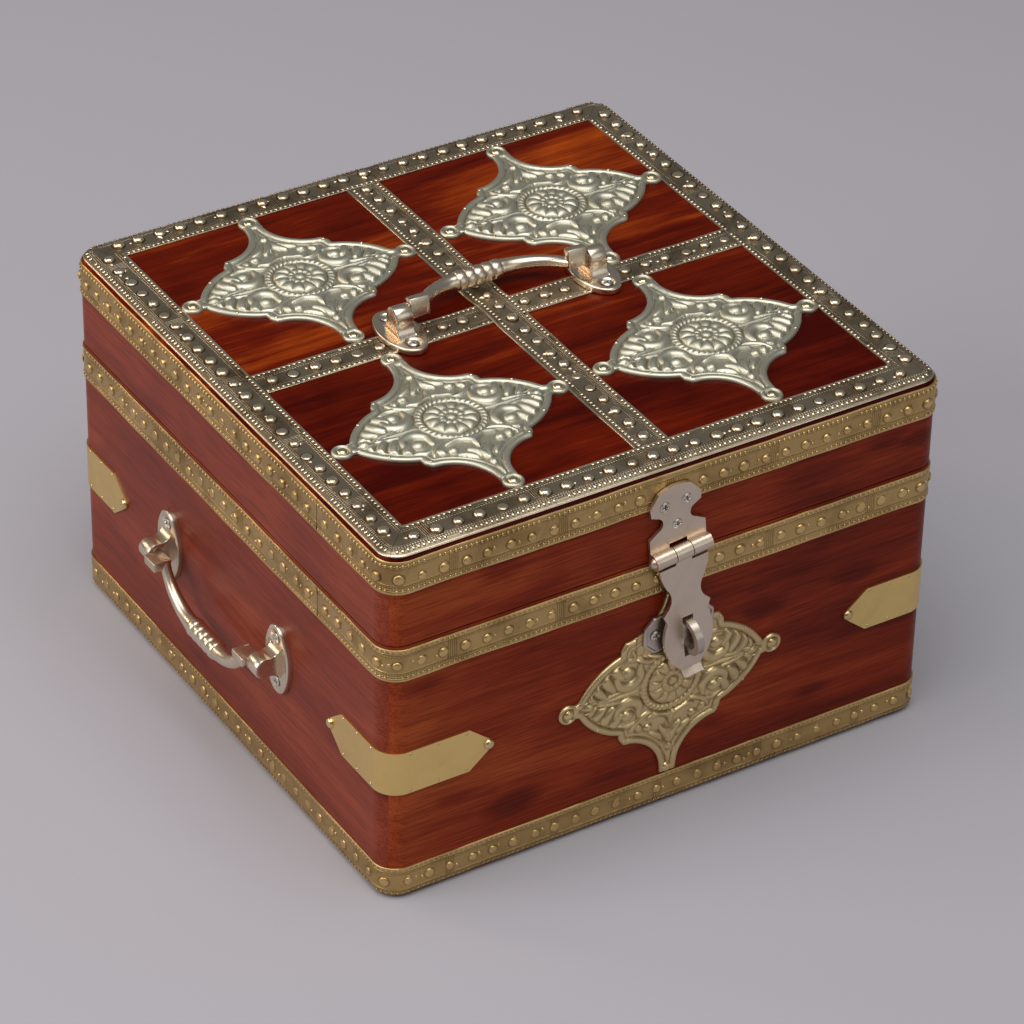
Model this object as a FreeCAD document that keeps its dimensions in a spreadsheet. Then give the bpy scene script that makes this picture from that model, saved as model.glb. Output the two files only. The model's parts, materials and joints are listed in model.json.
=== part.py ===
import FreeCAD, Part
import math
import os
import re
import Sketcher

from FreeCAD import Placement, Rotation, Vector

# A square wooden chest bound with embossed sheet-brass strips.
# Millimetres. The origin is the centre of the underside, +Z is up,
# the hasp is on the -Y face and the back hinges are on the +Y face.

SIZES = {
    # the wooden body; width and depth are taken over the brass strips
    "chest_width": 300.0,
    "chest_depth": 300.0,
    "carcass_height": 142.2,
    "lid_gap": 0.8,
    "lid_height": 49.0,
    "wall": 12.0,
    "floor_thickness": 9.0,
    "lid_board": 12.0,
    "corner_radius": 11.2,
    "arris_radius": 7.0,
    "foot_radius": 3.6,
    # the embossed strips round the body and over the top
    "strip_sheet": 0.8,
    "strip_width": 17.4,
    "bottom_strip_lift": 0.3,
    "mid_strip_drop": 1.1,
    "lid_strip_drop": 3.5,
    "trim_reach": 20.1,
    "trim_drop": 2.1,
    "trim_mitre_gap": 0.1,
    "cross_strip_lengthways": 17.0,
    "cross_strip_crossways": 18.4,
    "cross_strip_shift": -0.35,
    "cross_strip_ramp": 3.0,
    "strip_end_gap": 0.1,
    # the folded plates on the lower corners
    "plate_height": 23.4,
    "plate_centre": 72.0,
    "plate_reach": 50.0,
    "long_plate_front_reach": 56.5,
    "long_plate_side_reach": 52.0,
    "plate_point": 12.5,
    "plate_nail_inset": 2.2,
    "plate_pin_inset": 1.6,
    "plate_pin_start": 1.8,
    # the repousse ornaments, measured from their centre to the nail in an ear
    "ornament_half": 56.0,
    "ornament_sheet": 0.8,
    "ornament_relief": 0.5,
    "ornament_ear": 5.2,
    "ornament_boss_radius": 13.0,
    "ornament_boss_height": 2.9,
    "ornament_rim_width": 2.5,
    "ornament_rim_rise": 0.9,
    "ornament_ring_radius": 15.4,
    "ornament_ring_width": 3.2,
    "ornament_ring_crest": 1.4,
    "ornament_ring_rise": 1.0,
    "ornament_rib_bar": 1.9,
    "ornament_rib_rise": 1.4,
    "back_left_across": 69.2,
    "back_left_along": 69.6,
    "back_left_turn": -3.0,
    "back_right_across": 70.5,
    "back_right_along": 68.5,
    "back_right_turn": -2.5,
    "front_left_across": 68.7,
    "front_left_along": 69.1,
    "front_left_turn": -1.4,
    "front_right_across": 69.7,
    "front_right_along": 68.9,
    "front_right_turn": -1.0,
    "front_ornament_shift": 2.4,
    "front_ornament_centre": 72.4,
    "ornament_clearance": 0.3,
    # domed nails
    "nail_radius": 2.7,
    "nail_crown": 1.7,
    "nail_shank": 0.8,
    "nail_length": 9.0,
    # the small pins along the corner plates and in the ornaments
    "pin_radius": 0.8,
    "pin_crown": 0.4,
    "pin_shank": 0.4,
    "pin_length": 6.0,
    # the carrying handles: two pads and a swinging bail each
    "handle_pad_spacing": 106.2,
    "handle_pad_length": 38.0,
    "handle_pad_width": 21.0,
    "handle_pad_tip": 7.0,
    "handle_pad_thickness": 3.0,
    "handle_axis_height": 11.0,
    "lug_thickness": 9.0,
    "lug_radius": 5.2,
    "lug_foot": 15.0,
    "lug_foot_height": 7.0,
    "lug_bore_depth": 6.0,
    "handle_screw_spacing": 24.6,
    "top_handle_offset": 3.5,
    "top_handle_dip": 13.0,
    "side_handle_height": 78.5,
    "bail_drop": 19.0,
    "bail_arm_radius": 4.0,
    "bail_neck_radius": 2.4,
    "bail_arm_sink": 1.8655,
    "bail_arm_foot": 0.2382,
    "grip_length": 24.5,
    "ring_radius": 4.9,
    "groove_radius": 4.1,
    "ring_count": 5,
    "ring_share": 0.72,
    "bail_block_length": 10.0,
    "bail_block_thickness": 4.8,
    "bail_heel": 7.0,
    "bail_toe": 2.4,
    "bail_block_gap": 0.4,
    "bail_pin_radius": 2.0,
    "bail_pin_length": 5.4,
    "running_clearance": 0.05,
    # screws of the handles, the hasp and the staple
    "screw_radius": 2.8,
    "screw_sink": 1.3,
    "screw_crown": 0.35,
    "screw_shank": 1.2,
    "screw_length": 9.5,
    # the hasp on the front of the lid
    "hasp_lean": 6.0,
    "hasp_axis_shift": 2.4,
    "hasp_axis_lift": 4.4,
    "hasp_sheet": 1.8,
    "hasp_width": 30.0,
    "hasp_plate_rise": 36.4,
    "knuckle_radius": 4.0,
    "middle_knuckle": 8.6,
    "knuckle_gap": 0.4,
    "hasp_pin_radius": 2.0,
    "hasp_pin_head": 2.7,
    "hasp_pin_crown": 2.2,
    "hasp_screw_rise": 26.4,
    "hasp_screw_spread": 11.7,
    "hasp_low_screw_rise": 14.6,
    "leaf_width": 26.4,
    "leaf_top_drop": 5.2,
    "leaf_length": 61.0,
    "leaf_neck_drop": 2.6,
    "slot_width": 5.8,
    "slot_length": 23.0,
    "slot_drop": 47.9,
    "lip_width": 10.6,
    "lip_length": 6.0,
    "lip_angle": 50.0,
    # the staple that the hasp closes over
    "staple_length": 38.0,
    "staple_height": 19.4,
    "staple_corner": 5.0,
    "staple_sheet": 1.6,
    "staple_plate_shift": 2.5,
    "staple_plate_lift": 2.0,
    "staple_screw_spacing": 26.0,
    "loop_radius": 9.5,
    "loop_bar": 3.2,
    "loop_width": 3.6,
    "loop_reach": 16.4,
    "loop_drop": 47.4,
    # the two butt hinges let into the back edges
    "hinge_length": 40.0,
    "hinge_inset": 60.0,
    "hinge_sheet": 1.0,
    "hinge_leaf_depth": 10.0,
    "hinge_knuckle_radius": 2.6,
    "hinge_axis_back": 2.8,
    "hinge_pin_radius": 1.3,
    "hinge_middle_share": 0.4,
    "hinge_screw_radius": 1.8,
    "hinge_screw_sink": 0.9,
    "hinge_screw_shank": 0.9,
    "hinge_screw_length": 8.0,
    "hinge_screw_pitch": 13.0,
    "hinge_screw_inset": 5.5,
    # how far every cutting body runs past what it cuts
    "overrun": 2.0,
}

# Outlines as shares of the size that each follows, chosen by hand.
# One quarter of an ornament, from the neck's ear round to the lobe's ear, of ornament_half.
NECK_FOOT_SHARE = (0.082, 0.925)
NECK_WAIST_SHARE = (0.160, 0.680)
NECK_SHOULDER_SHARE = (0.395, 0.528)
TAB_OUTER_SHARES = ((0.455, 0.520), (0.500, 0.452))
LOBE_START_SHARE = (0.505, 0.403)
LOBE_MIDDLE_SHARE = (0.740, 0.270)
LOBE_END_SHARE = (0.905, 0.062)
TAB_PIN_SHARE = (0.455, 0.475)
LOBE_PIN_SHARE = (0.715, 0.262)
NECK_NAIL_SHARE = (-0.020, -0.905)
# The raised field inside the rim of an ornament, of ornament_half.
FIELD_NECK_SHARE = (0.020, 0.800)
FIELD_WAIST_SHARE = (0.085, 0.610)
FIELD_CORNER_SHARE = (0.425, 0.440)
FIELD_LOBE_SHARE = (0.690, 0.225)
FIELD_END_SHARE = (0.840, 0.020)
# The ribs in one quarter of an ornament's field, each from end to end, of ornament_half.
RIB_SHARES = (
    ((0.500, 0.200), (0.548, 0.292)),
    ((0.578, 0.120), (0.652, 0.242)),
    ((0.664, 0.078), (0.742, 0.168)),
    ((0.325, 0.235), (0.345, 0.140)),
    ((0.400, 0.100), (0.500, 0.118)),
    ((0.045, 0.600), (0.110, 0.480)),
    ((0.190, 0.290), (0.300, 0.322)),
)
# The middles of the round balls between the ribs.
BALL_SHARES = ((0.428, 0.225), (0.200, 0.414), (0.290, 0.396))
# Half of the hasp's upper plate, from its top down to the knuckles: half widths as
# shares of hasp_width, heights as shares of hasp_plate_rise.
PLATE_CROWN_SHARE = (0.290, 0.940)
PLATE_BROW_SHARE = (0.455, 0.760)
PLATE_EAR_SHARE = (0.445, 0.640)
PLATE_NOTCH_SHARE = (0.320, 0.590)
PLATE_WAIST_SHARE = (0.245, 0.480)
PLATE_FLARE_SHARE = (0.330, 0.390)
PLATE_FOOT_SHARE = (0.500, 0.300)
# Half of the hasp's leaf: half widths as shares of leaf_width, drops below its top
# edge as shares of leaf_length.
LEAF_SIDE_SHARE = (0.475, 0.080)
LEAF_SHOULDER_SHARE = (0.385, 0.190)
LEAF_WAIST_SHARE = (0.300, 0.290)
LEAF_CHEEK_SHARE = (0.365, 0.385)
LEAF_CUSP_SHARE = (0.480, 0.440)
LEAF_NOTCH_SHARE = (0.410, 0.520)
LEAF_BELLY_SHARE = (0.500, 0.720)
LEAF_HEEL_SHARE = (0.385, 0.900)
LEAF_TOE_SHARE = (0.200, 1.000)

# Each side of the chest, and the turn that brings the front there.
SIDE_TURNS = {"front": 0, "right": 90, "back": 180, "left": 270}

# Which way each corner of the chest lies from the middle, across and along.
CORNERS = {
    "front_left": (-1, -1),
    "front_right": (1, -1),
    "back_left": (-1, 1),
    "back_right": (1, 1),
}

doc = FreeCAD.newDocument("brass_bound_chest")
sheet = doc.addObject("Spreadsheet::Sheet", "Sizes")
for row, (word, number) in enumerate(SIZES.items(), start=1):
    sheet.set(f"A{row}", word)
    sheet.set(f"B{row}", str(number))
    sheet.setAlias(f"B{row}", word)
doc.recompute()

subparts = []


def size(word):
    """A driving size, read from the sheet."""
    return float(sheet.get(word))


def linked(expression):
    """An expression in plain size names, pointed at the sheet's cells."""
    return re.sub(
        r"[a-z_]+",
        lambda found: f"Sizes.{found.group()}" if found.group() in SIZES else found.group(),
        expression,
    )


def bind(thing, **expressions):
    """Drive properties of an object by expressions in size names."""
    for name, expression in expressions.items():
        thing.setExpression(name, linked(expression))
    return thing


def move(thing, x=None, y=None, z=None):
    """Drive the place of an object by expressions in size names."""
    for axis, expression in (("x", x), ("y", y), ("z", z)):
        if expression is not None:
            thing.setExpression(f"Placement.Base.{axis}", linked(expression))
    return thing


def add(kind, name, **expressions):
    return bind(doc.addObject(kind, name), **expressions)


def joined(kind, name, base, tool):
    """A Cut, Common or Fuse of two objects."""
    result = doc.addObject(f"Part::{kind}", name)
    result.Base = base
    result.Tool = tool
    return result


def gathered(name, things):
    result = doc.addObject("Part::Compound", name)
    result.Links = things
    return result


def melted(name, things):
    """One fused solid of several objects."""
    result = doc.addObject("Part::MultiFuse", name)
    result.Shapes = things
    result.Refine = True
    return result


def subpart(name, thing):
    """Keep an object as one of the chest's pieces, under the piece's name."""
    thing.Label = name
    subparts.append(thing)
    return thing


def shaped(name, shape):
    """An object whose form is set here, from sizes of the sheet."""
    thing = doc.addObject("Part::Feature", name)
    thing.Shape = shape
    return thing


def box_between(name, x, y, z):
    """A box from pairs of low and high expressions."""
    box = add(
        "Part::Box",
        name,
        Length=f"({x[1]}) - ({x[0]})",
        Width=f"({y[1]}) - ({y[0]})",
        Height=f"({z[1]}) - ({z[0]})",
    )
    return move(box, x[0], y[0], z[0])


def middle_box(name, length, width, low, high):
    """A box centred on the vertical axis."""
    return box_between(
        name,
        (f"-({length}) / 2", f"({length}) / 2"),
        (f"-({width}) / 2", f"({width}) / 2"),
        (low, high),
    )


def body_plane(body, role):
    for feature in body.Origin.OriginFeatures:
        if feature.Role == role:
            return feature
    raise LookupError(role)


def named_constraint(sketch, name, constraint, expression):
    index = sketch.addConstraint(constraint)
    sketch.renameConstraint(index, name)
    sketch.setExpression(f"Constraints.{name}", linked(expression))


def rounded_block(name, length, width, radius, low, high, arris=None, foot=None):
    """A block with rounded upright corners, and its top arris or foot rounded if asked."""
    body = doc.addObject("PartDesign::Body", name)
    sketch = body.newObject("Sketcher::SketchObject", f"{name}_plan")
    sketch.AttachmentSupport = [(body_plane(body, "XY_Plane"), "")]
    sketch.MapMode = "FlatFace"
    half = size("chest_width") / 2
    corners = [Vector(-half, -half), Vector(half, -half), Vector(half, half), Vector(-half, half)]
    for place in range(4):
        sketch.addGeometry(Part.LineSegment(corners[place], corners[(place + 1) % 4]), False)
    for place in range(4):
        sketch.addConstraint(Sketcher.Constraint("Coincident", place, 2, (place + 1) % 4, 1))
    for place in (0, 2):
        sketch.addConstraint(Sketcher.Constraint("Horizontal", place))
    for place in (1, 3):
        sketch.addConstraint(Sketcher.Constraint("Vertical", place))
    sketch.addConstraint(Sketcher.Constraint("Symmetric", 0, 1, 2, 1, -1, 1))
    across = Sketcher.Constraint("DistanceX", 0, 1, 0, 2, 2 * half)
    named_constraint(sketch, "plan_length", across, length)
    along = Sketcher.Constraint("DistanceY", 1, 1, 1, 2, 2 * half)
    named_constraint(sketch, "plan_width", along, width)
    pad = body.newObject("PartDesign::Pad", f"{name}_pad")
    pad.Profile = sketch
    bind(pad, Length=f"({high}) - ({low})")
    doc.recompute()
    upright = [
        f"Edge{number}"
        for number, edge in enumerate(pad.Shape.Edges, start=1)
        if abs(edge.tangentAt(edge.FirstParameter).z) > 0.99
    ]
    corner = body.newObject("PartDesign::Fillet", f"{name}_corners")
    corner.Base = (pad, upright)
    bind(corner, Radius=radius)
    doc.recompute()
    for word, radius, level in (
        ("arris", arris, corner.Shape.BoundBox.ZMax),
        ("foot", foot, corner.Shape.BoundBox.ZMin),
    ):
        if radius is None:
            continue
        rim = [
            f"Edge{number}"
            for number, edge in enumerate(corner.Shape.Edges, start=1)
            if abs(edge.BoundBox.ZMin - level) + abs(edge.BoundBox.ZMax - level)
            < edge.Length * 0.001
        ]
        rounding = body.newObject("PartDesign::Fillet", f"{name}_{word}")
        rounding.Base = (corner, rim)
        bind(rounding, Radius=radius)
        doc.recompute()
    return move(body, z=low)


def mitre_wedge(name, side, depth, low, high, gap="0"):
    """The ground that one of four mitred pieces covers, down to a depth from the faces."""
    across, along = "chest_width", "chest_depth"
    if side in ("left", "right"):
        across, along = along, across
    wedge = add(
        "Part::Wedge",
        name,
        Xmin=f"-({across} / 2 + overrun - {gap})",
        Xmax=f"{across} / 2 + overrun - {gap}",
        X2min=f"-({across} / 2 - ({depth}) - {gap})",
        X2max=f"{across} / 2 - ({depth}) - {gap}",
        Ymin=f"-({along} / 2 + overrun)",
        Ymax=f"-({along} / 2 - ({depth}))",
        Zmin=low,
        Zmax=high,
        Z2min=low,
        Z2max=high,
    )
    wedge.Placement.Rotation = Rotation(Vector(0, 0, 1), SIDE_TURNS[side])
    return wedge


# Heights and half widths that several pieces share, as expressions.
LID_LOW = "(carcass_height + lid_gap)"
LID_TOP = "(carcass_height + lid_gap + lid_height)"
WOOD_LENGTH = "(chest_width - 2 * strip_sheet)"
WOOD_WIDTH = "(chest_depth - 2 * strip_sheet)"
CAVITY_LENGTH = "(chest_width - 2 * strip_sheet - 2 * wall)"
CAVITY_WIDTH = "(chest_depth - 2 * strip_sheet - 2 * wall)"
WALL_DEPTH = "(strip_sheet + wall + overrun)"

# The same places as numbers, for forms that are set directly.
half_wood_length = size("chest_width") / 2 - size("strip_sheet")
half_wood_width = size("chest_depth") / 2 - size("strip_sheet")
lid_low = size("carcass_height") + size("lid_gap")
lid_top = lid_low + size("lid_height")
front_face = -size("chest_depth") / 2
wood_front = front_face + size("strip_sheet")
overrun = size("overrun")

OUT = {
    "front": Vector(0, -1, 0),
    "back": Vector(0, 1, 0),
    "left": Vector(-1, 0, 0),
    "right": Vector(1, 0, 0),
    "up": Vector(0, 0, 1),
    "down": Vector(0, 0, -1),
}


def set_on(shape, spot, outward):
    """A copy of a form made on the origin facing +Z, set on a spot facing outward."""
    copy = shape.copy()
    copy.Placement = Placement(spot, Rotation(OUT["up"], outward)).multiply(shape.Placement)
    return copy


def arc(start, middle, end):
    return Part.Arc(start, middle, end).toShape()


def line(start, end):
    return Part.LineSegment(start, end).toShape()


def turned(profile):
    """A solid of revolution about Z, from edges in the XZ plane."""
    face = Part.Face(Part.Wire(profile))
    return face.revolve(Vector(0, 0, 0), Vector(0, 0, 1), 360)


def dome_edge(radius, rise):
    """The section of a spherical cap from its rim, on the origin's plane, to its top."""
    ball = (radius**2 + rise**2) / (2 * rise)
    half_angle = math.asin(radius / ball) / 2
    low = rise - ball
    shoulder = Vector(ball * math.sin(half_angle), 0, low + ball * math.cos(half_angle))
    return arc(Vector(radius, 0, 0), shoulder, Vector(0, 0, rise))


def domed_nail(head, crown, shank, length):
    """A round-headed nail: its head sits on the origin and its shank goes down."""
    top = Vector(0, 0, crown)
    rim = Vector(head, 0, 0)
    neck = Vector(shank, 0, 0)
    tip = Vector(shank, 0, -length)
    end = Vector(0, 0, -length)
    dome = dome_edge(head, crown)
    return turned([line(end, tip), line(tip, neck), line(neck, rim), dome, line(top, end)])


def sunk_screw(head, sink, crown, shank, length):
    """A countersunk screw: the rim of its head lies on the origin's plane."""
    top = Vector(0, 0, crown)
    rim = Vector(head, 0, 0)
    neck = Vector(shank, 0, -sink)
    tip = Vector(shank, 0, -length)
    end = Vector(0, 0, -length)
    head_edge = dome_edge(head, crown) if crown > 0 else line(rim, top)
    return turned([line(end, tip), line(tip, neck), line(neck, rim), head_edge, line(top, end)])


def fasteners(name, pattern, spots):
    """A group of like fasteners, one on each spot."""
    solids = [set_on(pattern, spot, outward) for spot, outward in spots]
    return subpart(name, shaped(name, Part.makeCompound(solids)))


nail = domed_nail(size("nail_radius"), size("nail_crown"), size("nail_shank"), size("nail_length"))
pin = domed_nail(size("pin_radius"), size("pin_crown"), size("pin_shank"), size("pin_length"))
screw = sunk_screw(
    size("screw_radius"),
    size("screw_sink"),
    size("screw_crown"),
    size("screw_shank"),
    size("screw_length"),
)
hinge_screw = sunk_screw(
    size("hinge_screw_radius"),
    size("hinge_screw_sink"),
    0,
    size("hinge_screw_shank"),
    size("hinge_screw_length"),
)


# The hasp leans a little in its own plane. Its points are given across and up from
# the middle of its hinge axis, at a distance out from the front face of the strips.
hasp_lean = math.radians(size("hasp_lean"))
hasp_axis_height = size("carcass_height") + size("hasp_axis_lift")


def hasp_point(across, up, out):
    """A place on the hasp: across and up from its hinge axis, out from the strips."""
    return Vector(
        size("hasp_axis_shift") + across * math.cos(hasp_lean) - up * math.sin(hasp_lean),
        front_face - out,
        hasp_axis_height + across * math.sin(hasp_lean) + up * math.cos(hasp_lean),
    )


def hasp_frame(shape):
    """Bring a form from the hasp's own frame (across, up, out) to its place."""
    across = Vector(math.cos(hasp_lean), 0, math.sin(hasp_lean))
    up = Vector(-math.sin(hasp_lean), 0, math.cos(hasp_lean))
    frame = Placement(hasp_point(0, 0, 0), Rotation(across, up, OUT["front"], "XYZ"))
    copy = shape.copy()
    copy.Placement = frame.multiply(shape.Placement)
    return copy


knuckle_out = size("knuckle_radius")
plate_face_out = size("hasp_sheet")
leaf_back_out = knuckle_out

# Fasteners of the lid and of the carcass.
hasp_screws = fasteners(
    "hasp_screws",
    screw,
    [
        (hasp_point(across, up, plate_face_out), OUT["front"])
        for across, up in (
            (-size("hasp_screw_spread") / 2, size("hasp_screw_rise")),
            (size("hasp_screw_spread") / 2, size("hasp_screw_rise")),
            (0, size("hasp_low_screw_rise")),
        )
    ],
)

loop_middle = hasp_point(0, -size("loop_drop"), 0)
staple_middle = Vector(
    loop_middle.x - size("staple_plate_shift"),
    front_face - size("staple_sheet"),
    loop_middle.z + size("staple_plate_lift"),
)
staple_screws = fasteners(
    "staple_screws",
    screw,
    [
        (staple_middle + Vector(side * size("staple_screw_spacing") / 2, 0, 0), OUT["front"])
        for side in (-1, 1)
    ],
)


def pad_screw_spots(middle, along, across, outward):
    """The two screws of each of a handle's pads."""
    out_to_head = outward * size("handle_pad_thickness")
    return [
        (
            middle
            + along * (end * size("handle_pad_spacing") / 2)
            + across * (side * size("handle_screw_spacing") / 2)
            + out_to_head,
            outward,
        )
        for end in (-1, 1)
        for side in (-1, 1)
    ]


top_seat = Vector(0, size("top_handle_offset"), lid_top + size("strip_sheet"))
top_handle_screws = fasteners(
    "top_handle_screws", screw, pad_screw_spots(top_seat, OUT["right"], OUT["back"], OUT["up"])
)
side_screw_spots = []
for side, sign in (("left", -1), ("right", 1)):
    seat = Vector(sign * half_wood_length, 0, size("side_handle_height"))
    side_screw_spots += pad_screw_spots(seat, OUT["back"], OUT["up"], OUT[side])
side_handle_screws = fasteners("side_handle_screws", screw, side_screw_spots)

# One corner plate was cut longer than the rest.
LONG_ARMS = {
    ("front_left", "front"): "long_plate_front_reach",
    ("front_left", "side"): "long_plate_side_reach",
}


def arm_reach(corner_name, face):
    """How far a corner's plate reaches from the chest's edge, along the front or a side."""
    return size(LONG_ARMS.get((corner_name, face), "plate_reach"))


def arm_nail_reach(corner_name, face):
    """How far from the chest's edge the nail in an arm's tip stands."""
    return arm_reach(corner_name, face) - size("plate_nail_inset")


corner_nail_spots = []
for corner_name, (across, along) in CORNERS.items():
    nail_x = across * (size("chest_width") / 2 - arm_nail_reach(corner_name, "front"))
    nail_y = along * (size("chest_depth") / 2 - arm_nail_reach(corner_name, "side"))
    on_face = Vector(nail_x, along * size("chest_depth") / 2, size("plate_centre"))
    corner_nail_spots.append((on_face, OUT["front"] if along < 0 else OUT["back"]))
    on_end = Vector(across * size("chest_width") / 2, nail_y, size("plate_centre"))
    corner_nail_spots.append((on_end, OUT["left"] if across < 0 else OUT["right"]))
corner_plate_nails = fasteners("corner_plate_nails", nail, corner_nail_spots)

pin_start = size("corner_radius") + size("plate_pin_start")
pin_drop = size("plate_height") / 2 - size("plate_pin_inset")


def arm_pin_spots(corner_name, across, along, face):
    """The pins along both edges of one arm: near the bend, half-way and at its shoulder."""
    corner = Vector(
        across * size("chest_width") / 2, along * size("chest_depth") / 2, size("plate_centre")
    )
    if face == "front":
        inward = Vector(-across, 0, 0)
        outward = OUT["front"] if along < 0 else OUT["back"]
    else:
        inward = Vector(0, -along, 0)
        outward = OUT["left"] if across < 0 else OUT["right"]
    pin_end = arm_reach(corner_name, face) - size("plate_point") - size("plate_pin_inset")
    return [
        (corner + inward * reach + OUT["up"] * rise, outward)
        for reach in (pin_start, (pin_start + pin_end) / 2, pin_end)
        for rise in (-pin_drop, pin_drop)
    ]


corner_pin_spots = []
for corner_name, (across, along) in CORNERS.items():
    for face in ("front", "side"):
        corner_pin_spots += arm_pin_spots(corner_name, across, along, face)
corner_plate_pins = fasteners("corner_plate_pins", pin, corner_pin_spots)

ornament_half = size("ornament_half")
ornament_sheet = size("ornament_sheet")


def ornament_spots(middle, across, up, outward, shares, rise=0):
    """Fastener places on an ornament, as shares of ornament_half, at a rise over its sheet."""
    return [
        (
            middle + across * (x * ornament_half) + up * (y * ornament_half)
            + outward * (ornament_sheet + rise),
            outward,
        )
        for x, y in shares
    ]


def turned_directions(degrees_turn, across, up):
    angle = math.radians(degrees_turn)
    return (
        across * math.cos(angle) + up * math.sin(angle),
        up * math.cos(angle) - across * math.sin(angle),
    )


def top_ornament_frame(place):
    """The middle of an ornament on the lid, and the directions across and up it."""
    side, end = CORNERS[place]
    middle = Vector(
        side * size(f"{place}_across"), end * size(f"{place}_along"), lid_top
    )
    return middle, turned_directions(size(f"{place}_turn"), OUT["right"], OUT["back"])


EVERY_EAR = ((1, 0), (0, 1), (-1, 0), (0, -1))
SIDE_EARS = ((1, 0), (-1, 0))
PINNED = [
    (side * x, end * y)
    for side, end in CORNERS.values()
    for x, y in (TAB_PIN_SHARE, LOBE_PIN_SHARE)
]
rim_rise = size("ornament_rim_rise")
top_nail_spots = []
top_pin_spots = []
for place in CORNERS:
    middle, (across, up) = top_ornament_frame(place)
    top_nail_spots += ornament_spots(middle, across, up, OUT["up"], EVERY_EAR)
    top_pin_spots += ornament_spots(middle, across, up, OUT["up"], PINNED, rim_rise)
top_ornament_nails = fasteners("top_ornament_nails", nail, top_nail_spots)
top_ornament_pins = fasteners("top_ornament_pins", pin, top_pin_spots)

front_middle = Vector(size("front_ornament_shift"), wood_front, size("front_ornament_centre"))
FRONT_FRAME = (front_middle, OUT["right"], OUT["up"], OUT["front"])
front_ornament_nails = fasteners(
    "front_ornament_nails", nail, ornament_spots(*FRONT_FRAME, [*SIDE_EARS, NECK_NAIL_SHARE])
)
front_ornament_pins = fasteners(
    "front_ornament_pins", pin, ornament_spots(*FRONT_FRAME, PINNED, rim_rise)
)

# The back hinges lie on an axis behind the back face, at the middle of the gap.
hinge_axis_y = size("chest_depth") / 2 + size("hinge_axis_back")
hinge_axis_z = size("carcass_height") + size("lid_gap") / 2
hinge_reach = size("chest_width") / 2 - size("hinge_inset")
hinge_middles = (-hinge_reach, hinge_reach)
hinge_screw_y = size("chest_depth") / 2 - size("hinge_screw_inset")


def hinge_screw_spots(height, outward):
    return [
        (Vector(middle + place * size("hinge_screw_pitch"), hinge_screw_y, height), outward)
        for middle in hinge_middles
        for place in (-1, 0, 1)
    ]


lower_hinge_screws = fasteners(
    "lower_hinge_screws", hinge_screw, hinge_screw_spots(size("carcass_height"), OUT["up"])
)
upper_hinge_screws = fasteners(
    "upper_hinge_screws", hinge_screw, hinge_screw_spots(lid_low, OUT["down"])
)


# The butt hinges: a flat leaf with knuckles rolled round a pin.
def hinge_leaf(name, middle, lower):
    """One leaf: the lower one holds the two end knuckles, the upper one the middle one."""
    length = size("hinge_length")
    middle_length = length * size("hinge_middle_share")
    end_length = (length - middle_length) / 2
    gap = size("knuckle_gap") / 2
    if lower:
        leaf_low = size("carcass_height") - size("hinge_sheet")
        spans = ((0, end_length - gap), (length - end_length + gap, length))
        bore = size("hinge_pin_radius")
    else:
        leaf_low = lid_low
        spans = ((end_length + gap, length - end_length - gap),)
        bore = size("hinge_pin_radius") + size("running_clearance")
    start = middle - length / 2
    leaf_start = size("chest_depth") / 2 - size("hinge_leaf_depth")
    solid = Part.makeBox(
        length,
        size("hinge_leaf_depth") + size("running_clearance"),
        size("hinge_sheet"),
        Vector(start, leaf_start, leaf_low),
    )
    for low, high in spans:
        barrel = Part.makeCylinder(
            size("hinge_knuckle_radius"),
            high - low,
            Vector(start + low, hinge_axis_y, hinge_axis_z),
            OUT["right"],
        )
        tongue = Part.makeBox(
            high - low,
            hinge_axis_y - leaf_start,
            size("hinge_sheet"),
            Vector(start + low, leaf_start, leaf_low),
        )
        solid = solid.fuse(barrel).fuse(tongue)
    pin_room = Part.makeCylinder(
        bore, length, Vector(start, hinge_axis_y, hinge_axis_z), OUT["right"]
    )
    return solid.cut(pin_room).removeSplitter()


HINGE_SIDES = dict(zip(("left", "right"), hinge_middles))
lower_leaves = {}
upper_leaves = {}
for side, middle in HINGE_SIDES.items():
    blank = shaped(f"hinge_{side}_lower_blank", hinge_leaf(side, middle, True))
    lower_leaves[side] = joined("Cut", f"hinge_{side}_lower_leaf", blank, lower_hinge_screws)
    subpart(f"back_hinge_{side}_lower_leaf", lower_leaves[side])
    blank = shaped(f"hinge_{side}_upper_blank", hinge_leaf(side, middle, False))
    upper_leaves[side] = joined("Cut", f"hinge_{side}_upper_leaf", blank, upper_hinge_screws)
    subpart(f"back_hinge_{side}_upper_leaf", upper_leaves[side])
pins = [
    Part.makeCylinder(
        size("hinge_pin_radius"),
        size("hinge_length"),
        Vector(middle - size("hinge_length") / 2, hinge_axis_y, hinge_axis_z),
        OUT["right"],
    )
    for middle in hinge_middles
]
subpart("back_hinge_pins", shaped("back_hinge_pins", Part.makeCompound(pins)))

# The carcass: four mitred boards with rounded corners round a floor panel.
carcass_block = rounded_block(
    "carcass_block",
    WOOD_LENGTH,
    WOOD_WIDTH,
    "corner_radius",
    "0",
    "carcass_height",
    foot="foot_radius",
)
carcass_room = middle_box(
    "carcass_room", CAVITY_LENGTH, CAVITY_WIDTH, "-overrun", "carcass_height + overrun"
)
carcass_ring = joined("Cut", "carcass_ring", carcass_block, carcass_room)
plate_fasteners = gathered("plate_fasteners", [corner_plate_nails, corner_plate_pins])
front_fasteners = gathered("front_fasteners", [front_ornament_nails, front_ornament_pins])
top_fasteners = gathered("top_fasteners", [top_ornament_nails, top_ornament_pins])
carcass_holes = gathered(
    "carcass_holes",
    [
        staple_screws,
        side_handle_screws,
        plate_fasteners,
        front_fasteners,
        lower_hinge_screws,
        *lower_leaves.values(),
    ],
)
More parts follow.
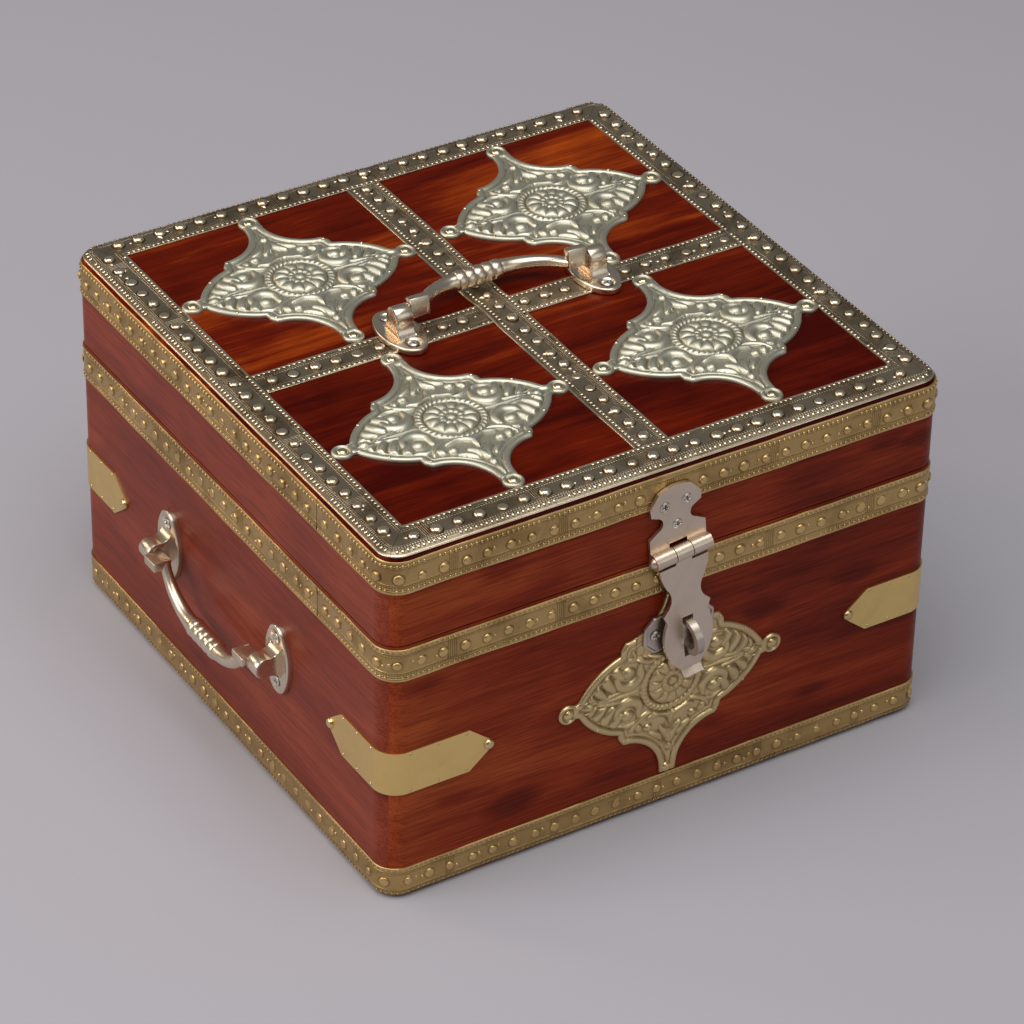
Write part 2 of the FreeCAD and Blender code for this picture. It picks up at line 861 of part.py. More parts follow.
for side in SIDE_TURNS:
    wedge = mitre_wedge(
        f"{side}_board_ground", side, WALL_DEPTH, "-overrun", "carcass_height + overrun"
    )
    blank = joined("Common", f"{side}_board_blank", carcass_ring, wedge)
    board = joined("Cut", f"{side}_board_holed", blank, carcass_holes)
    subpart(f"{side}_board", board)
floor_panel = middle_box("floor_panel", CAVITY_LENGTH, CAVITY_WIDTH, "0", "floor_thickness")
subpart("floor_panel", floor_panel)

# The lid: four mitred rails under a board whose top arris is rounded.
lid_block = rounded_block(
    "lid_block", WOOD_LENGTH, WOOD_WIDTH, "corner_radius", LID_LOW, LID_TOP, "arris_radius"
)
lid_room = middle_box(
    "lid_room", CAVITY_LENGTH, CAVITY_WIDTH, f"{LID_LOW} - overrun", f"{LID_TOP} - lid_board"
)
lid_hollowed = joined("Cut", "lid_hollowed", lid_block, lid_room)
lid_holes = gathered(
    "lid_holes",
    [
        hasp_screws,
        top_handle_screws,
        top_fasteners,
        upper_hinge_screws,
        *upper_leaves.values(),
    ],
)
for side in SIDE_TURNS:
    wedge = mitre_wedge(
        f"lid_{side}_ground", side, WALL_DEPTH, f"{LID_LOW} - overrun", f"{LID_TOP} - lid_board"
    )
    blank = joined("Common", f"lid_{side}_blank", lid_hollowed, wedge)
    rail = joined("Cut", f"lid_{side}_holed", blank, lid_holes)
    subpart(f"lid_{side}_rail", rail)
board_ground = middle_box(
    "lid_board_ground",
    "chest_width + overrun",
    "chest_depth + overrun",
    f"{LID_TOP} - lid_board",
    f"{LID_TOP} + overrun",
)
lid_board_blank = joined("Common", "lid_board_blank", lid_block, board_ground)
subpart("lid_top_board", joined("Cut", "lid_board_holed", lid_board_blank, lid_holes))

# The strips are cut from a skin one sheet thick over the wood.
carcass_skin_block = rounded_block(
    "carcass_skin_block",
    "chest_width",
    "chest_depth",
    "corner_radius + strip_sheet",
    "0",
    "carcass_height",
    foot="foot_radius + strip_sheet",
)
carcass_skin = joined("Cut", "carcass_skin", carcass_skin_block, carcass_block)
lid_skin_block = rounded_block(
    "lid_skin_block",
    "chest_width",
    "chest_depth",
    "corner_radius + strip_sheet",
    LID_LOW,
    f"{LID_TOP} + strip_sheet",
    "arris_radius + strip_sheet",
)
lid_skin = joined("Cut", "lid_skin", lid_skin_block, lid_block)


def strip_round(name, skin, low, high):
    """A strip that goes all round, between two heights."""
    ground = middle_box(
        f"{name}_ground", "chest_width + overrun", "chest_depth + overrun", low, high
    )
    return joined("Common", f"{name}_strip", skin, ground)


bottom_band = strip_round(
    "bottom_band", carcass_skin, "bottom_strip_lift", "bottom_strip_lift + strip_width"
)
subpart("bottom_band", bottom_band)
mid_top = "carcass_height - mid_strip_drop"
subpart(
    "mid_band", strip_round("mid_band", carcass_skin, f"{mid_top} - strip_width", mid_top)
)
lid_band_top = f"{LID_TOP} - lid_strip_drop"
lid_band = strip_round("lid_band", lid_skin, f"{lid_band_top} - strip_width", lid_band_top)
subpart("lid_side_band", joined("Cut", "lid_band_holed", lid_band, hasp_screws))

# The ornaments: a lobed sheet with a raised field and a domed boss.
def quarter_points(shares, sign_x, sign_y):
    return [Vector(sign_x * x * ornament_half, sign_y * y * ornament_half, 0) for x, y in shares]


def ornament_quarter(sign_x, sign_y):
    """The edges of one quarter of the outline, from the neck round to the lobe."""
    foot, waist, shoulder, tab, tab_end, start, bulge, end = quarter_points(
        (
            NECK_FOOT_SHARE,
            NECK_WAIST_SHARE,
            NECK_SHOULDER_SHARE,
            *TAB_OUTER_SHARES,
            LOBE_START_SHARE,
            LOBE_MIDDLE_SHARE,
            LOBE_END_SHARE,
        ),
        sign_x,
        sign_y,
    )
    return [
        arc(foot, waist, shoulder),
        line(shoulder, tab),
        line(tab, tab_end),
        line(tab_end, start),
        arc(start, bulge, end),
    ]


def ornament_outline():
    """The whole outline: four quarters joined by a round ear on each axis."""
    edges = []
    for sign_x in (-1, 1):
        for sign_y in (-1, 1):
            edges += ornament_quarter(sign_x, sign_y)
    tip = ornament_half + size("ornament_ear")
    for sign in (-1, 1):
        low, high = quarter_points((LOBE_END_SHARE, LOBE_END_SHARE), sign, 1)
        high.y = -low.y
        edges.append(arc(low, Vector(sign * tip, 0, 0), high))
        low, high = quarter_points((NECK_FOOT_SHARE, NECK_FOOT_SHARE), 1, sign)
        high.x = -low.x
        edges.append(arc(low, Vector(0, sign * tip, 0), high))
    return Part.Face(Part.Wire(Part.sortEdges(edges)[0]))


def ornament_field():
    """The raised field inside the rim, one concave and one convex arc to a quarter."""
    edges = []
    for sign_x in (-1, 1):
        for sign_y in (-1, 1):
            neck, waist, corner, bulge, end = quarter_points(
                (
                    FIELD_NECK_SHARE,
                    FIELD_WAIST_SHARE,
                    FIELD_CORNER_SHARE,
                    FIELD_LOBE_SHARE,
                    FIELD_END_SHARE,
                ),
                sign_x,
                sign_y,
            )
            edges += [arc(neck, waist, corner), arc(corner, bulge, end)]
    for sign in (-1, 1):
        low, high = quarter_points((FIELD_END_SHARE, FIELD_END_SHARE), sign, 1)
        high.y = -low.y
        edges.append(line(low, high))
        low, high = quarter_points((FIELD_NECK_SHARE, FIELD_NECK_SHARE), 1, sign)
        high.x = -low.x
        edges.append(line(low, high))
    return Part.Face(Part.Wire(Part.sortEdges(edges)[0]))


def ornament_rim(outline):
    """The raised rim along the outline, open round the nails in the ears."""
    rise = Vector(0, 0, ornament_sheet + rim_rise)
    rim = outline.cut(outline.makeOffset2D(-size("ornament_rim_width"))).extrude(rise)
    room = size("nail_radius") + size("ornament_clearance")
    ears = [
        Part.makeCylinder(room, rise.z, Vector(x * ornament_half, y * ornament_half, 0))
        for x, y in EVERY_EAR
    ]
    return rim.cut(ears)


def ornament_ring(floor):
    """The ring round the boss: a band with sloping sides, turned about the middle."""
    radius = size("ornament_ring_radius")
    foot = size("ornament_ring_width") / 2
    crest = size("ornament_ring_crest") / 2
    top = floor + size("ornament_ring_rise")
    corners = [
        Vector(radius - foot, 0, ornament_sheet),
        Vector(radius + foot, 0, ornament_sheet),
        Vector(radius + foot, 0, floor),
        Vector(radius + crest, 0, top),
        Vector(radius - crest, 0, top),
        Vector(radius - foot, 0, floor),
    ]
    section = Part.Face(Part.makePolygon([*corners, corners[0]]))
    return section.revolve(Vector(0, 0, 0), OUT["up"], 360)


def ornament_ribs(floor):
    """Round-backed ribs and balls in each quarter, standing in the field."""
    bar = size("ornament_rib_bar")
    level = floor + size("ornament_rib_rise") - bar
    reach = 2 * ornament_half
    ground = Part.makeBox(
        2 * reach, 2 * reach, level + reach, Vector(-reach, -reach, ornament_sheet / 2)
    )
    solids = []
    for sign_x in (-1, 1):
        for sign_y in (-1, 1):
            for ends in RIB_SHARES:
                low, high = quarter_points(ends, sign_x, sign_y)
                low.z = high.z = level
                rod = Part.makeCylinder(bar, (high - low).Length, low, high - low)
                rod = rod.fuse([Part.makeSphere(bar, low), Part.makeSphere(bar, high)])
                solids.append(rod.removeSplitter().common(ground))
            for middle in quarter_points(BALL_SHARES, sign_x, sign_y):
                middle.z = level
                solids.append(Part.makeSphere(bar, middle).common(ground))
    return solids


def ornament_solid():
    """An ornament lying on the origin's plane, facing +Z."""
    relief = ornament_sheet + size("ornament_relief")
    outline = ornament_outline()
    plate = outline.extrude(Vector(0, 0, ornament_sheet))
    field = ornament_field().extrude(Vector(0, 0, relief))
    radius = size("ornament_boss_radius")
    height = size("ornament_boss_height")
    ball = (radius**2 + height**2) / (2 * height)
    centre = Vector(0, 0, relief + height - ball)
    boss = Part.makeSphere(ball, centre)
    keep = Part.makeCylinder(radius, height + relief, Vector(0, 0, 0))
    base = plate.fuse([field, ornament_rim(outline)]).fuse(boss.common(keep))
    return base.fuse([ornament_ring(relief), *ornament_ribs(relief)]).removeSplitter()


ornament = ornament_solid()
ornament_blanks = []
for place in CORNERS:
    middle, (across, up) = top_ornament_frame(place)
    copy = ornament.copy()
    copy.Placement = Placement(middle, Rotation(across, up, OUT["up"], "XYZ"))
    blank = shaped(f"top_ornament_{place}_blank", copy)
    ornament_blanks.append(blank)
    holed = joined("Cut", f"top_ornament_{place}_holed", blank, top_fasteners)
    subpart(f"top_ornament_{place}", holed)
ornament_seats = gathered("ornament_seats", ornament_blanks)

# The bent strips round the top, mitred at the corners and let in under the ornaments.
trim_ground = middle_box(
    "trim_ground",
    "chest_width + overrun",
    "chest_depth + overrun",
    f"{LID_TOP} - trim_drop",
    f"{LID_TOP} + overrun",
)
trim_room = middle_box(
    "trim_room",
    "chest_width - 2 * trim_reach",
    "chest_depth - 2 * trim_reach",
    LID_LOW,
    f"{LID_TOP} + 2 * overrun",
)
trim_sheet = joined("Common", "trim_sheet", lid_skin, trim_ground)
trim_ring = joined("Cut", "trim_ring", trim_sheet, trim_room)
for side in SIDE_TURNS:
    wedge = mitre_wedge(
        f"top_trim_{side}_ground",
        side,
        "trim_reach + overrun",
        LID_LOW,
        f"{LID_TOP} + overrun",
        "trim_mitre_gap",
    )
    strip = joined("Common", f"top_trim_{side}_strip", trim_ring, wedge)
    subpart(f"top_trim_{side}", joined("Cut", f"top_trim_{side}_let_in", strip, ornament_seats))

# The cross on the lid: one flat strip from side to side, and one from front to back
# that steps up over it.
lengthways = box_between(
    "lengthways_blank",
    (
        "-(chest_width / 2 - trim_reach - strip_end_gap)",
        "chest_width / 2 - trim_reach - strip_end_gap",
    ),
    ("-cross_strip_lengthways / 2", "cross_strip_lengthways / 2"),
    (LID_TOP, f"{LID_TOP} + strip_sheet"),
)
lengthways_holes = gathered("lengthways_holes", [top_handle_screws, *ornament_blanks])
subpart(
    "cross_strip_side_to_side",
    joined("Cut", "lengthways_strip", lengthways, lengthways_holes),
)


def bridged_strip():
    """The section of the upper strip along its length, bridging the lower one."""
    sheet_thickness = size("strip_sheet")
    end = size("chest_depth") / 2 - size("trim_reach") - size("strip_end_gap")
    foot = size("cross_strip_lengthways") / 2 + size("cross_strip_ramp")
    crest = size("cross_strip_lengthways") / 2 + size("strip_end_gap")
    under = [(-end, 0), (-foot, 0), (-crest, 1), (crest, 1), (foot, 0), (end, 0)]
    over = [(y, step + 1) for y, step in reversed(under)]
    left = size("cross_strip_shift") - size("cross_strip_crossways") / 2
    points = [
        Vector(left, y, lid_top + step * sheet_thickness) for y, step in under + over
    ]
    outline = Part.makePolygon([*points, points[0]])
    return Part.Face(outline).extrude(Vector(size("cross_strip_crossways"), 0, 0))


crossways = shaped("crossways_blank", bridged_strip())
subpart(
    "cross_strip_front_to_back", joined("Cut", "crossways_strip", crossways, ornament_seats)
)


# The corner plates: pointed strips folded round the lower corners.
def pointed_ground(reach, point, height):
    """Half a plate's outline, from the corner's fold out to its nailed point."""
    points = [
        Vector(-overrun, 0, -height / 2),
        Vector(reach - point, 0, -height / 2),
        Vector(reach, 0, -size("nail_radius") / 2),
        Vector(reach, 0, size("nail_radius") / 2),
        Vector(reach - point, 0, height / 2),
        Vector(-overrun, 0, height / 2),
    ]
    outline = Part.Face(Part.makePolygon([*points, points[0]]))
    depth = size("corner_radius") + size("strip_sheet") + overrun
    return outline.extrude(Vector(0, depth, 0))


def half_plate(corner_name, face):
    """The ground of one arm of a corner's plate."""
    return pointed_ground(arm_reach(corner_name, face), size("plate_point"), size("plate_height"))


def corner_ground(corner_name, across, along):
    """The ground of a folded plate on one corner: a half on each face, mirrored."""
    corner = Vector(
        across * size("chest_width") / 2, along * size("chest_depth") / 2, size("plate_centre")
    )
    on_face = half_plate(corner_name, "front")
    on_face.translate(Vector(0, -overrun / 2, 0))
    if across > 0:
        on_face = on_face.mirror(Vector(0, 0, 0), OUT["right"])
    if along > 0:
        on_face = on_face.mirror(Vector(0, 0, 0), OUT["back"])
    on_end = half_plate(corner_name, "side")
    on_end.translate(Vector(0, -overrun / 2, 0))
    on_end.rotate(Vector(0, 0, 0), OUT["up"], 90)
    on_end = on_end.mirror(Vector(0, 0, 0), OUT["right"])
    if across > 0:
        on_end = on_end.mirror(Vector(0, 0, 0), OUT["right"])
    if along > 0:
        on_end = on_end.mirror(Vector(0, 0, 0), OUT["back"])
    ground = on_face.fuse(on_end)
    ground.translate(corner)
    return ground


for corner_name, (across, along) in CORNERS.items():
    ground = shaped(f"corner_{corner_name}_ground", corner_ground(corner_name, across, along))
    blank = joined("Common", f"corner_{corner_name}_blank", carcass_skin, ground)
    plate = joined("Cut", f"corner_{corner_name}_holed", blank, plate_fasteners)
    subpart(f"corner_plate_{corner_name}", plate)


# The front ornament ends at the strips below and above it, and its relief is pressed
# flat behind the staple's plate.
front_copy = ornament.copy()
front_copy.Placement = Placement(front_middle, Rotation(*FRONT_FRAME[1:], "XYZ"))
clearance = size("ornament_clearance")
low_strip_top = size("bottom_strip_lift") + size("strip_width")
high_strip_foot = size("carcass_height") - size("mid_strip_drop") - size("strip_width")
kept_height = high_strip_foot - low_strip_top - 2 * clearance
kept = Part.makeBox(
    3 * ornament_half,
    4 * overrun,
    kept_height,
    Vector(
        front_middle.x - 1.5 * ornament_half, wood_front - 4 * overrun, low_strip_top + clearance
    ),
)
pressed = Part.makeBox(
    size("staple_length") + 2 * clearance,
    4 * overrun,
    size("staple_height") + 2 * clearance,
    Vector(
        staple_middle.x - size("staple_length") / 2 - clearance,
        wood_front - ornament_sheet - 4 * overrun,
        staple_middle.z - size("staple_height") / 2 - clearance,
    ),
)
front_blank = shaped("front_ornament_blank", front_copy.common(kept).cut(pressed))
front_holes = gathered("front_holes", [front_fasteners, staple_screws])
subpart("front_ornament", joined("Cut", "front_ornament_holed", front_blank, front_holes))


# The staple: an eight-sided plate and a loop that stands through the hasp's slot.
def staple_plate():
    half = size("staple_length") / 2
    rise = size("staple_height") / 2
    corner = size("staple_corner")
    quarter = [(half - corner, rise), (half, rise - corner)]
    points = []
    for sign_x, sign_z, order in ((1, 1, 1), (1, -1, -1), (-1, -1, 1), (-1, 1, -1)):
        points += [(sign_x * x, sign_z * z) for x, z in quarter[::order]]
    corners = [
        Vector(staple_middle.x + x, front_face, staple_middle.z + z) for x, z in points
    ]
    outline = Part.Face(Part.makePolygon([*corners, corners[0]]))
    return outline.extrude(Vector(0, -size("staple_sheet"), 0))


def staple_loop():
    """A flat bar bent to a round loop, its two legs on the plate."""
    outer = size("loop_radius")
    inner = outer - size("loop_bar")
    low = size("staple_sheet")
    bend = size("loop_reach") - outer
    half = size("loop_width") / 2
    crown = [
        Vector(0, -outer, bend),
        Vector(0, 0, bend + outer),
        Vector(0, outer, bend),
        Vector(0, inner, bend),
        Vector(0, 0, bend + inner),
        Vector(0, -inner, bend),
    ]
    feet = [
        Vector(0, outer, low),
        Vector(0, inner, low),
        Vector(0, -inner, low),
        Vector(0, -outer, low),
    ]
    edges = [
        arc(*crown[:3]),
        line(crown[2], feet[0]),
        line(feet[0], feet[1]),
        line(feet[1], crown[3]),
        arc(*crown[3:]),
        line(crown[5], feet[2]),
        line(feet[2], feet[3]),
        line(feet[3], crown[0]),
    ]
    bar = Part.Face(Part.Wire(edges)).extrude(Vector(2 * half, 0, 0))
    bar.translate(Vector(-half, -size("loop_drop"), 0))
    return hasp_frame(bar)


staple_blank = shaped("staple_blank", staple_plate())
subpart("staple_plate", joined("Cut", "staple_plate_holed", staple_blank, staple_screws))
subpart("staple_loop", shaped("staple_loop", staple_loop()))


# The hasp: an upper plate screwed to the lid, a pin and a swinging leaf.
def mirrored_outline(right_edges):
    """A closed face from the edges of its right half and their mirror image."""
    left_edges = [edge.mirror(Vector(0, 0, 0), OUT["right"]) for edge in right_edges]
    return Part.Face(Part.Wire(Part.sortEdges([*right_edges, *left_edges])[0]))


def barrel(start, end, out):
    """A solid knuckle round the hinge axis, between two places across the hasp."""
    return Part.makeCylinder(
        size("knuckle_radius"), end - start, Vector(start, 0, out), OUT["right"]
    )


def hasp_upper_plate():
    width = size("hasp_width")
    rise = size("hasp_plate_rise")
    crown, brow, ear, notch, waist, flare, foot = [
        Vector(x * width, y * rise, 0)
        for x, y in (
            PLATE_CROWN_SHARE,
            PLATE_BROW_SHARE,
            PLATE_EAR_SHARE,
            PLATE_NOTCH_SHARE,
            PLATE_WAIST_SHARE,
            PLATE_FLARE_SHARE,
            PLATE_FOOT_SHARE,
        )
    ]
    top_middle = Vector(0, rise, 0)
    low = Vector(width / 2, 0, 0)
    low_middle = Vector(0, 0, 0)
    edges = [
        arc(Vector(-crown.x, crown.y, 0), top_middle, crown),
        line(crown, brow),
        line(brow, ear),
        line(ear, notch),
        arc(notch, waist, flare),
        line(flare, foot),
        line(foot, low),
        line(low, low_middle),
    ]
    right = edges[1:]
    left = [edge.mirror(Vector(0, 0, 0), OUT["right"]) for edge in right]
    face = Part.Face(Part.Wire(Part.sortEdges([edges[0], *right, *left])[0]))
    plate = face.extrude(Vector(0, 0, size("hasp_sheet")))
    inner = size("middle_knuckle") / 2 + size("knuckle_gap")
    for start, end in ((-width / 2, -inner), (inner, width / 2)):
        plate = plate.fuse(barrel(start, end, knuckle_out))
    room = size("knuckle_radius") + 3 * size("knuckle_gap")
    window = Part.makeBox(
        2 * inner,
        2 * room,
        knuckle_out + room,
        Vector(-inner, -room, -overrun),
    )
    pin_room = Part.makeCylinder(
        size("hasp_pin_radius"), width, Vector(-width / 2, 0, knuckle_out), OUT["right"]
    )
    return hasp_frame(plate.cut(window).cut(pin_room).removeSplitter())


def hasp_pin():
    width = size("hasp_width")
    shaft = Part.makeCylinder(
        size("hasp_pin_radius"), width, Vector(-width / 2, 0, knuckle_out), OUT["right"]
    )
    head = domed_nail(
        size("hasp_pin_head"), size("hasp_pin_crown"), size("hasp_pin_radius"), overrun
    )
    head = set_on(head, Vector(-width / 2, 0, knuckle_out), OUT["left"])
    return hasp_frame(shaft.fuse(head).removeSplitter())


def hasp_leaf():
    """The leaf: a waisted plate with a slot, a round foot and a lip turned out."""
    width = size("leaf_width")
    length = size("leaf_length")
    top = -size("leaf_top_drop")
    side, shoulder, waist, cheek, cusp, notch, belly, heel, toe = [
        Vector(x * width, top - y * length, 0)
        for x, y in (
            LEAF_SIDE_SHARE,
            LEAF_SHOULDER_SHARE,
            LEAF_WAIST_SHARE,
            LEAF_CHEEK_SHARE,
            LEAF_CUSP_SHARE,
            LEAF_NOTCH_SHARE,
            LEAF_BELLY_SHARE,
            LEAF_HEEL_SHARE,
            LEAF_TOE_SHARE,
        )
    ]
    top_corner = Vector(width / 2, top, 0)
    right = [
        line(Vector(0, top, 0), top_corner),
        line(top_corner, side),
        line(side, shoulder),
        arc(shoulder, waist, cheek),
        line(cheek, cusp),
        line(cusp, notch),
        arc(notch, belly, heel),
        line(heel, toe),
        line(toe, Vector(0, toe.y, 0)),
    ]
    face = mirrored_outline(right)
    face.translate(Vector(0, 0, leaf_back_out))
    leaf = face.extrude(Vector(0, 0, size("hasp_sheet")))
    half = size("middle_knuckle") / 2
    neck = Part.makeBox(
        2 * half,
        size("leaf_top_drop") - size("leaf_neck_drop") + overrun,
        size("hasp_sheet"),
        Vector(-half, top - overrun, leaf_back_out),
    )
    lip = Part.makeBox(
        size("lip_width"),
        size("hasp_sheet"),
        size("lip_length"),
        Vector(-size("lip_width") / 2, -size("hasp_sheet"), 0),
    )
    lip.rotate(Vector(0, 0, 0), OUT["right"], 90 - size("lip_angle"))
    lip.translate(Vector(0, toe.y + size("hasp_sheet") / 2, leaf_back_out))
    leaf = leaf.fuse(neck).fuse(barrel(-half, half, knuckle_out)).fuse(lip)
    slot_half = size("slot_width") / 2
    slot = Part.makeBox(
        2 * slot_half,
        size("slot_length"),
        size("hasp_sheet") + 2 * overrun,
        Vector(-slot_half, -size("slot_drop") - size("slot_length") / 2, leaf_back_out - overrun),
    )
    pin_room = Part.makeCylinder(
        size("hasp_pin_radius") + size("running_clearance"),
        size("hasp_width"),
        Vector(-size("hasp_width") / 2, 0, knuckle_out),
        OUT["right"],
    )
    return hasp_frame(leaf.cut(slot).cut(pin_room).removeSplitter())


plate_blank = shaped("hasp_upper_plate_blank", hasp_upper_plate())
subpart("hasp_upper_plate", joined("Cut", "hasp_plate_holed", plate_blank, hasp_screws))
subpart("hasp_pin", shaped("hasp_pin", hasp_pin()))
subpart("hasp_leaf", shaped("hasp_leaf", hasp_leaf()))


# The handles. Each pad and bail is made facing +Z with the bail's axis along X and
# the bail laid towards +Y, and is then set on its face.
def pointed_oval(length, width, tip):
    """A flat oval whose two sides run into small round tips, long along Y."""
    run = length / 2 - tip
    side = (width**2 / 4 + run**2 - tip**2) / (width - 2 * tip)
    hub = side - width / 2
    reach = math.hypot(hub, run)
    meet = Vector(tip * hub / reach, run + tip * run / reach, 0)
    top = Vector(0, length / 2, 0)
    edges = []
    for sign in (-1, 1):
        ends = [Vector(sign * meet.x, end * meet.y, 0) for end in (-1, 1)]
        edges.append(arc(ends[0], Vector(sign * width / 2, 0, 0), ends[1]))
    for end in (-1, 1):
        ends = [Vector(sign * meet.x, end * meet.y, 0) for sign in (-1, 1)]
        edges.append(arc(ends[0], top * end, ends[1]))
    return Part.Face(Part.Wire(Part.sortEdges(edges)[0]))


def handle_pad(name, inward):
    """A pointed oval plate and a round-topped lug, bored from the side where the bail is."""
    oval = pointed_oval(size("handle_pad_length"), size("handle_pad_width"), size("handle_pad_tip"))
    base = shaped(f"{name}_base", oval.extrude(Vector(0, 0, size("handle_pad_thickness"))))
    foot = add(
        "Part::Wedge",
        f"{name}_foot",
        Xmin="-lug_thickness / 2",
        X2min="-lug_thickness / 2",
        Xmax="lug_thickness / 2",
        X2max="lug_thickness / 2",
        Ymin="handle_pad_thickness / 2",
        Ymax="lug_foot_height",
        Zmin="-lug_foot / 2",
        Zmax="lug_foot / 2",
        Z2min="-lug_radius",
        Z2max="lug_radius",
    )
    foot.Placement.Rotation = Rotation(OUT["right"], 90)
    post = box_between(
        f"{name}_post",
        ("-lug_thickness / 2", "lug_thickness / 2"),
        ("-lug_radius", "lug_radius"),
        ("handle_pad_thickness / 2", "handle_axis_height"),
    )
    crown = add("Part::Cylinder", f"{name}_crown", Radius="lug_radius", Height="lug_thickness")
    crown.Placement.Rotation = Rotation(OUT["up"], OUT["right"])
    move(crown, x="-lug_thickness / 2", z="handle_axis_height")
    solid = melted(f"{name}_solid", [base, foot, post, crown])
    bore = add(
        "Part::Cylinder",
        f"{name}_bore",
        Radius="bail_pin_radius + running_clearance",
        Height="lug_bore_depth + overrun",
    )
    bore.Placement.Rotation = Rotation(OUT["up"], OUT["right"])
    if inward > 0:
        move(bore, x="lug_thickness / 2 - lug_bore_depth", z="handle_axis_height")
    else:
        move(bore, x="-lug_thickness / 2 - overrun", z="handle_axis_height")
    return joined("Cut", f"{name}_bored", solid, bore)


def set_pad(name, pad, rotation, x, y, z, screws):
    """Set a pad on its face and let its screws in."""
    pad.Placement.Rotation = rotation
    move(pad, x, y, z)
    subpart(name, joined("Cut", f"{name}_holed", pad, screws))


HALF_SPACING = "handle_pad_spacing / 2"
BLOCK_OUTER = f"({HALF_SPACING} - lug_thickness / 2 - bail_block_gap)"
# An arm runs level out of the grip and falls along one arc to its place in the block.
ARM_RUN = f"({BLOCK_OUTER} - bail_block_length + bail_arm_sink - grip_length / 2)"
ARM_FALL = "(bail_drop - bail_arm_foot)"
BEND_ANGLE = f"(2 * atan({ARM_FALL} / {ARM_RUN}))"
BEND = f"({ARM_RUN} / sin({BEND_ANGLE}))"
arm_run = size("handle_pad_spacing") / 2 - size("lug_thickness") / 2 - size("bail_block_gap")
arm_run += size("bail_arm_sink") - size("bail_block_length") - size("grip_length") / 2
bend_angle = math.degrees(2 * math.atan2(size("bail_drop") - size("bail_arm_foot"), arm_run))


def bail_arm(name, side):
    """A bent arm that thins from the grip to its block, swept along an arc."""
    bend = add("Part::Circle", f"{name}_bend", Radius=BEND)
    if side > 0:
        bind(bend, Angle1=f"90 deg - {BEND_ANGLE}", Angle2="90 deg")
    else:
        bind(bend, Angle1="90 deg", Angle2=f"90 deg + {BEND_ANGLE}")
    reach = "grip_length / 2" if side > 0 else "-grip_length / 2"
    move(bend, x=reach, y=f"bail_drop - {BEND}")
    thick = add("Part::Circle", f"{name}_thick", Radius="bail_arm_radius")
    thick.Placement.Rotation = Rotation(OUT["up"], OUT["right"])
    move(thick, x=reach, y="bail_drop")
    thin = add("Part::Circle", f"{name}_thin", Radius="bail_neck_radius")
    thin.Placement.Rotation = Rotation(OUT["up"], -side * bend_angle).multiply(
        Rotation(OUT["up"], OUT["right"])
    )
    move(thin, x=f"{reach} + {side} * {ARM_RUN}", y="bail_arm_foot")
    arm = doc.addObject("Part::Sweep", name)
    arm.Spine = (bend, ["Edge1"])
    arm.Sections = [thin, thick] if side > 0 else [thick, thin]
    arm.Solid = True
    return arm


def handle_bail(name):
    """The swinging bail: a ringed grip, two bent arms, end blocks and stub pins."""
    pieces = []
    core = add("Part::Cylinder", f"{name}_core", Radius="groove_radius", Height="grip_length")
    core.Placement.Rotation = Rotation(OUT["up"], OUT["right"])
    pieces.append(move(core, x="-grip_length / 2", y="bail_drop"))
    for number in range(int(size("ring_count"))):
        ring = add(
            "Part::Cylinder",
            f"{name}_ring_{number}",
            Radius="ring_radius",
            Height="grip_length / ring_count * ring_share",
        )
        ring.Placement.Rotation = Rotation(OUT["up"], OUT["right"])
        start = f"grip_length / ring_count * ({number} + (1 - ring_share) / 2) - grip_length / 2"
        pieces.append(move(ring, x=start, y="bail_drop"))
    for side in (-1, 1):
        pieces.append(bail_arm(f"{name}_arm_{side + 1}", side))
        block_low = f"{BLOCK_OUTER} - bail_block_length" if side > 0 else f"-{BLOCK_OUTER}"
        block_high = BLOCK_OUTER if side > 0 else f"-{BLOCK_OUTER} + bail_block_length"
        block = box_between(
            f"{name}_block_{side + 1}",
            (block_low, block_high),
            ("-bail_block_thickness / 2", "bail_block_thickness / 2"),
            ("-bail_toe", "bail_heel"),
        )
        pieces.append(block)
        pin = add(
            "Part::Cylinder",
            f"{name}_pin_{side + 1}",
            Radius="bail_pin_radius",
            Height="bail_pin_length + bail_block_gap + overrun",
        )
        pin.Placement.Rotation = Rotation(OUT["up"], OUT["right"])
        if side > 0:
            pieces.append(move(pin, x=f"{BLOCK_OUTER} - overrun"))
        else:
            pieces.append(move(pin, x=f"-{BLOCK_OUTER} - bail_pin_length - bail_block_gap"))
    return melted(f"{name}_bail", pieces)


TOP_SEAT = f"{LID_TOP} + strip_sheet"
for side, sign in (("left", -1), ("right", 1)):
    pad = handle_pad(f"top_pad_{side}", -sign)
    set_pad(
        f"top_handle_pad_{side}",
        pad,
        Rotation(),
        f"{sign} * {HALF_SPACING}",
        "top_handle_offset",
        TOP_SEAT,
        top_handle_screws,
    )
top_bail = handle_bail("top")
top_bail.Placement.Rotation = Rotation(OUT["left"], size("top_handle_dip"))
top_bail.setExpression("Placement.Rotation.Angle", linked("top_handle_dip * 1 deg"))
move(top_bail, y="top_handle_offset", z=f"{TOP_SEAT} + handle_axis_height")
subpart("top_handle_bail", top_bail)

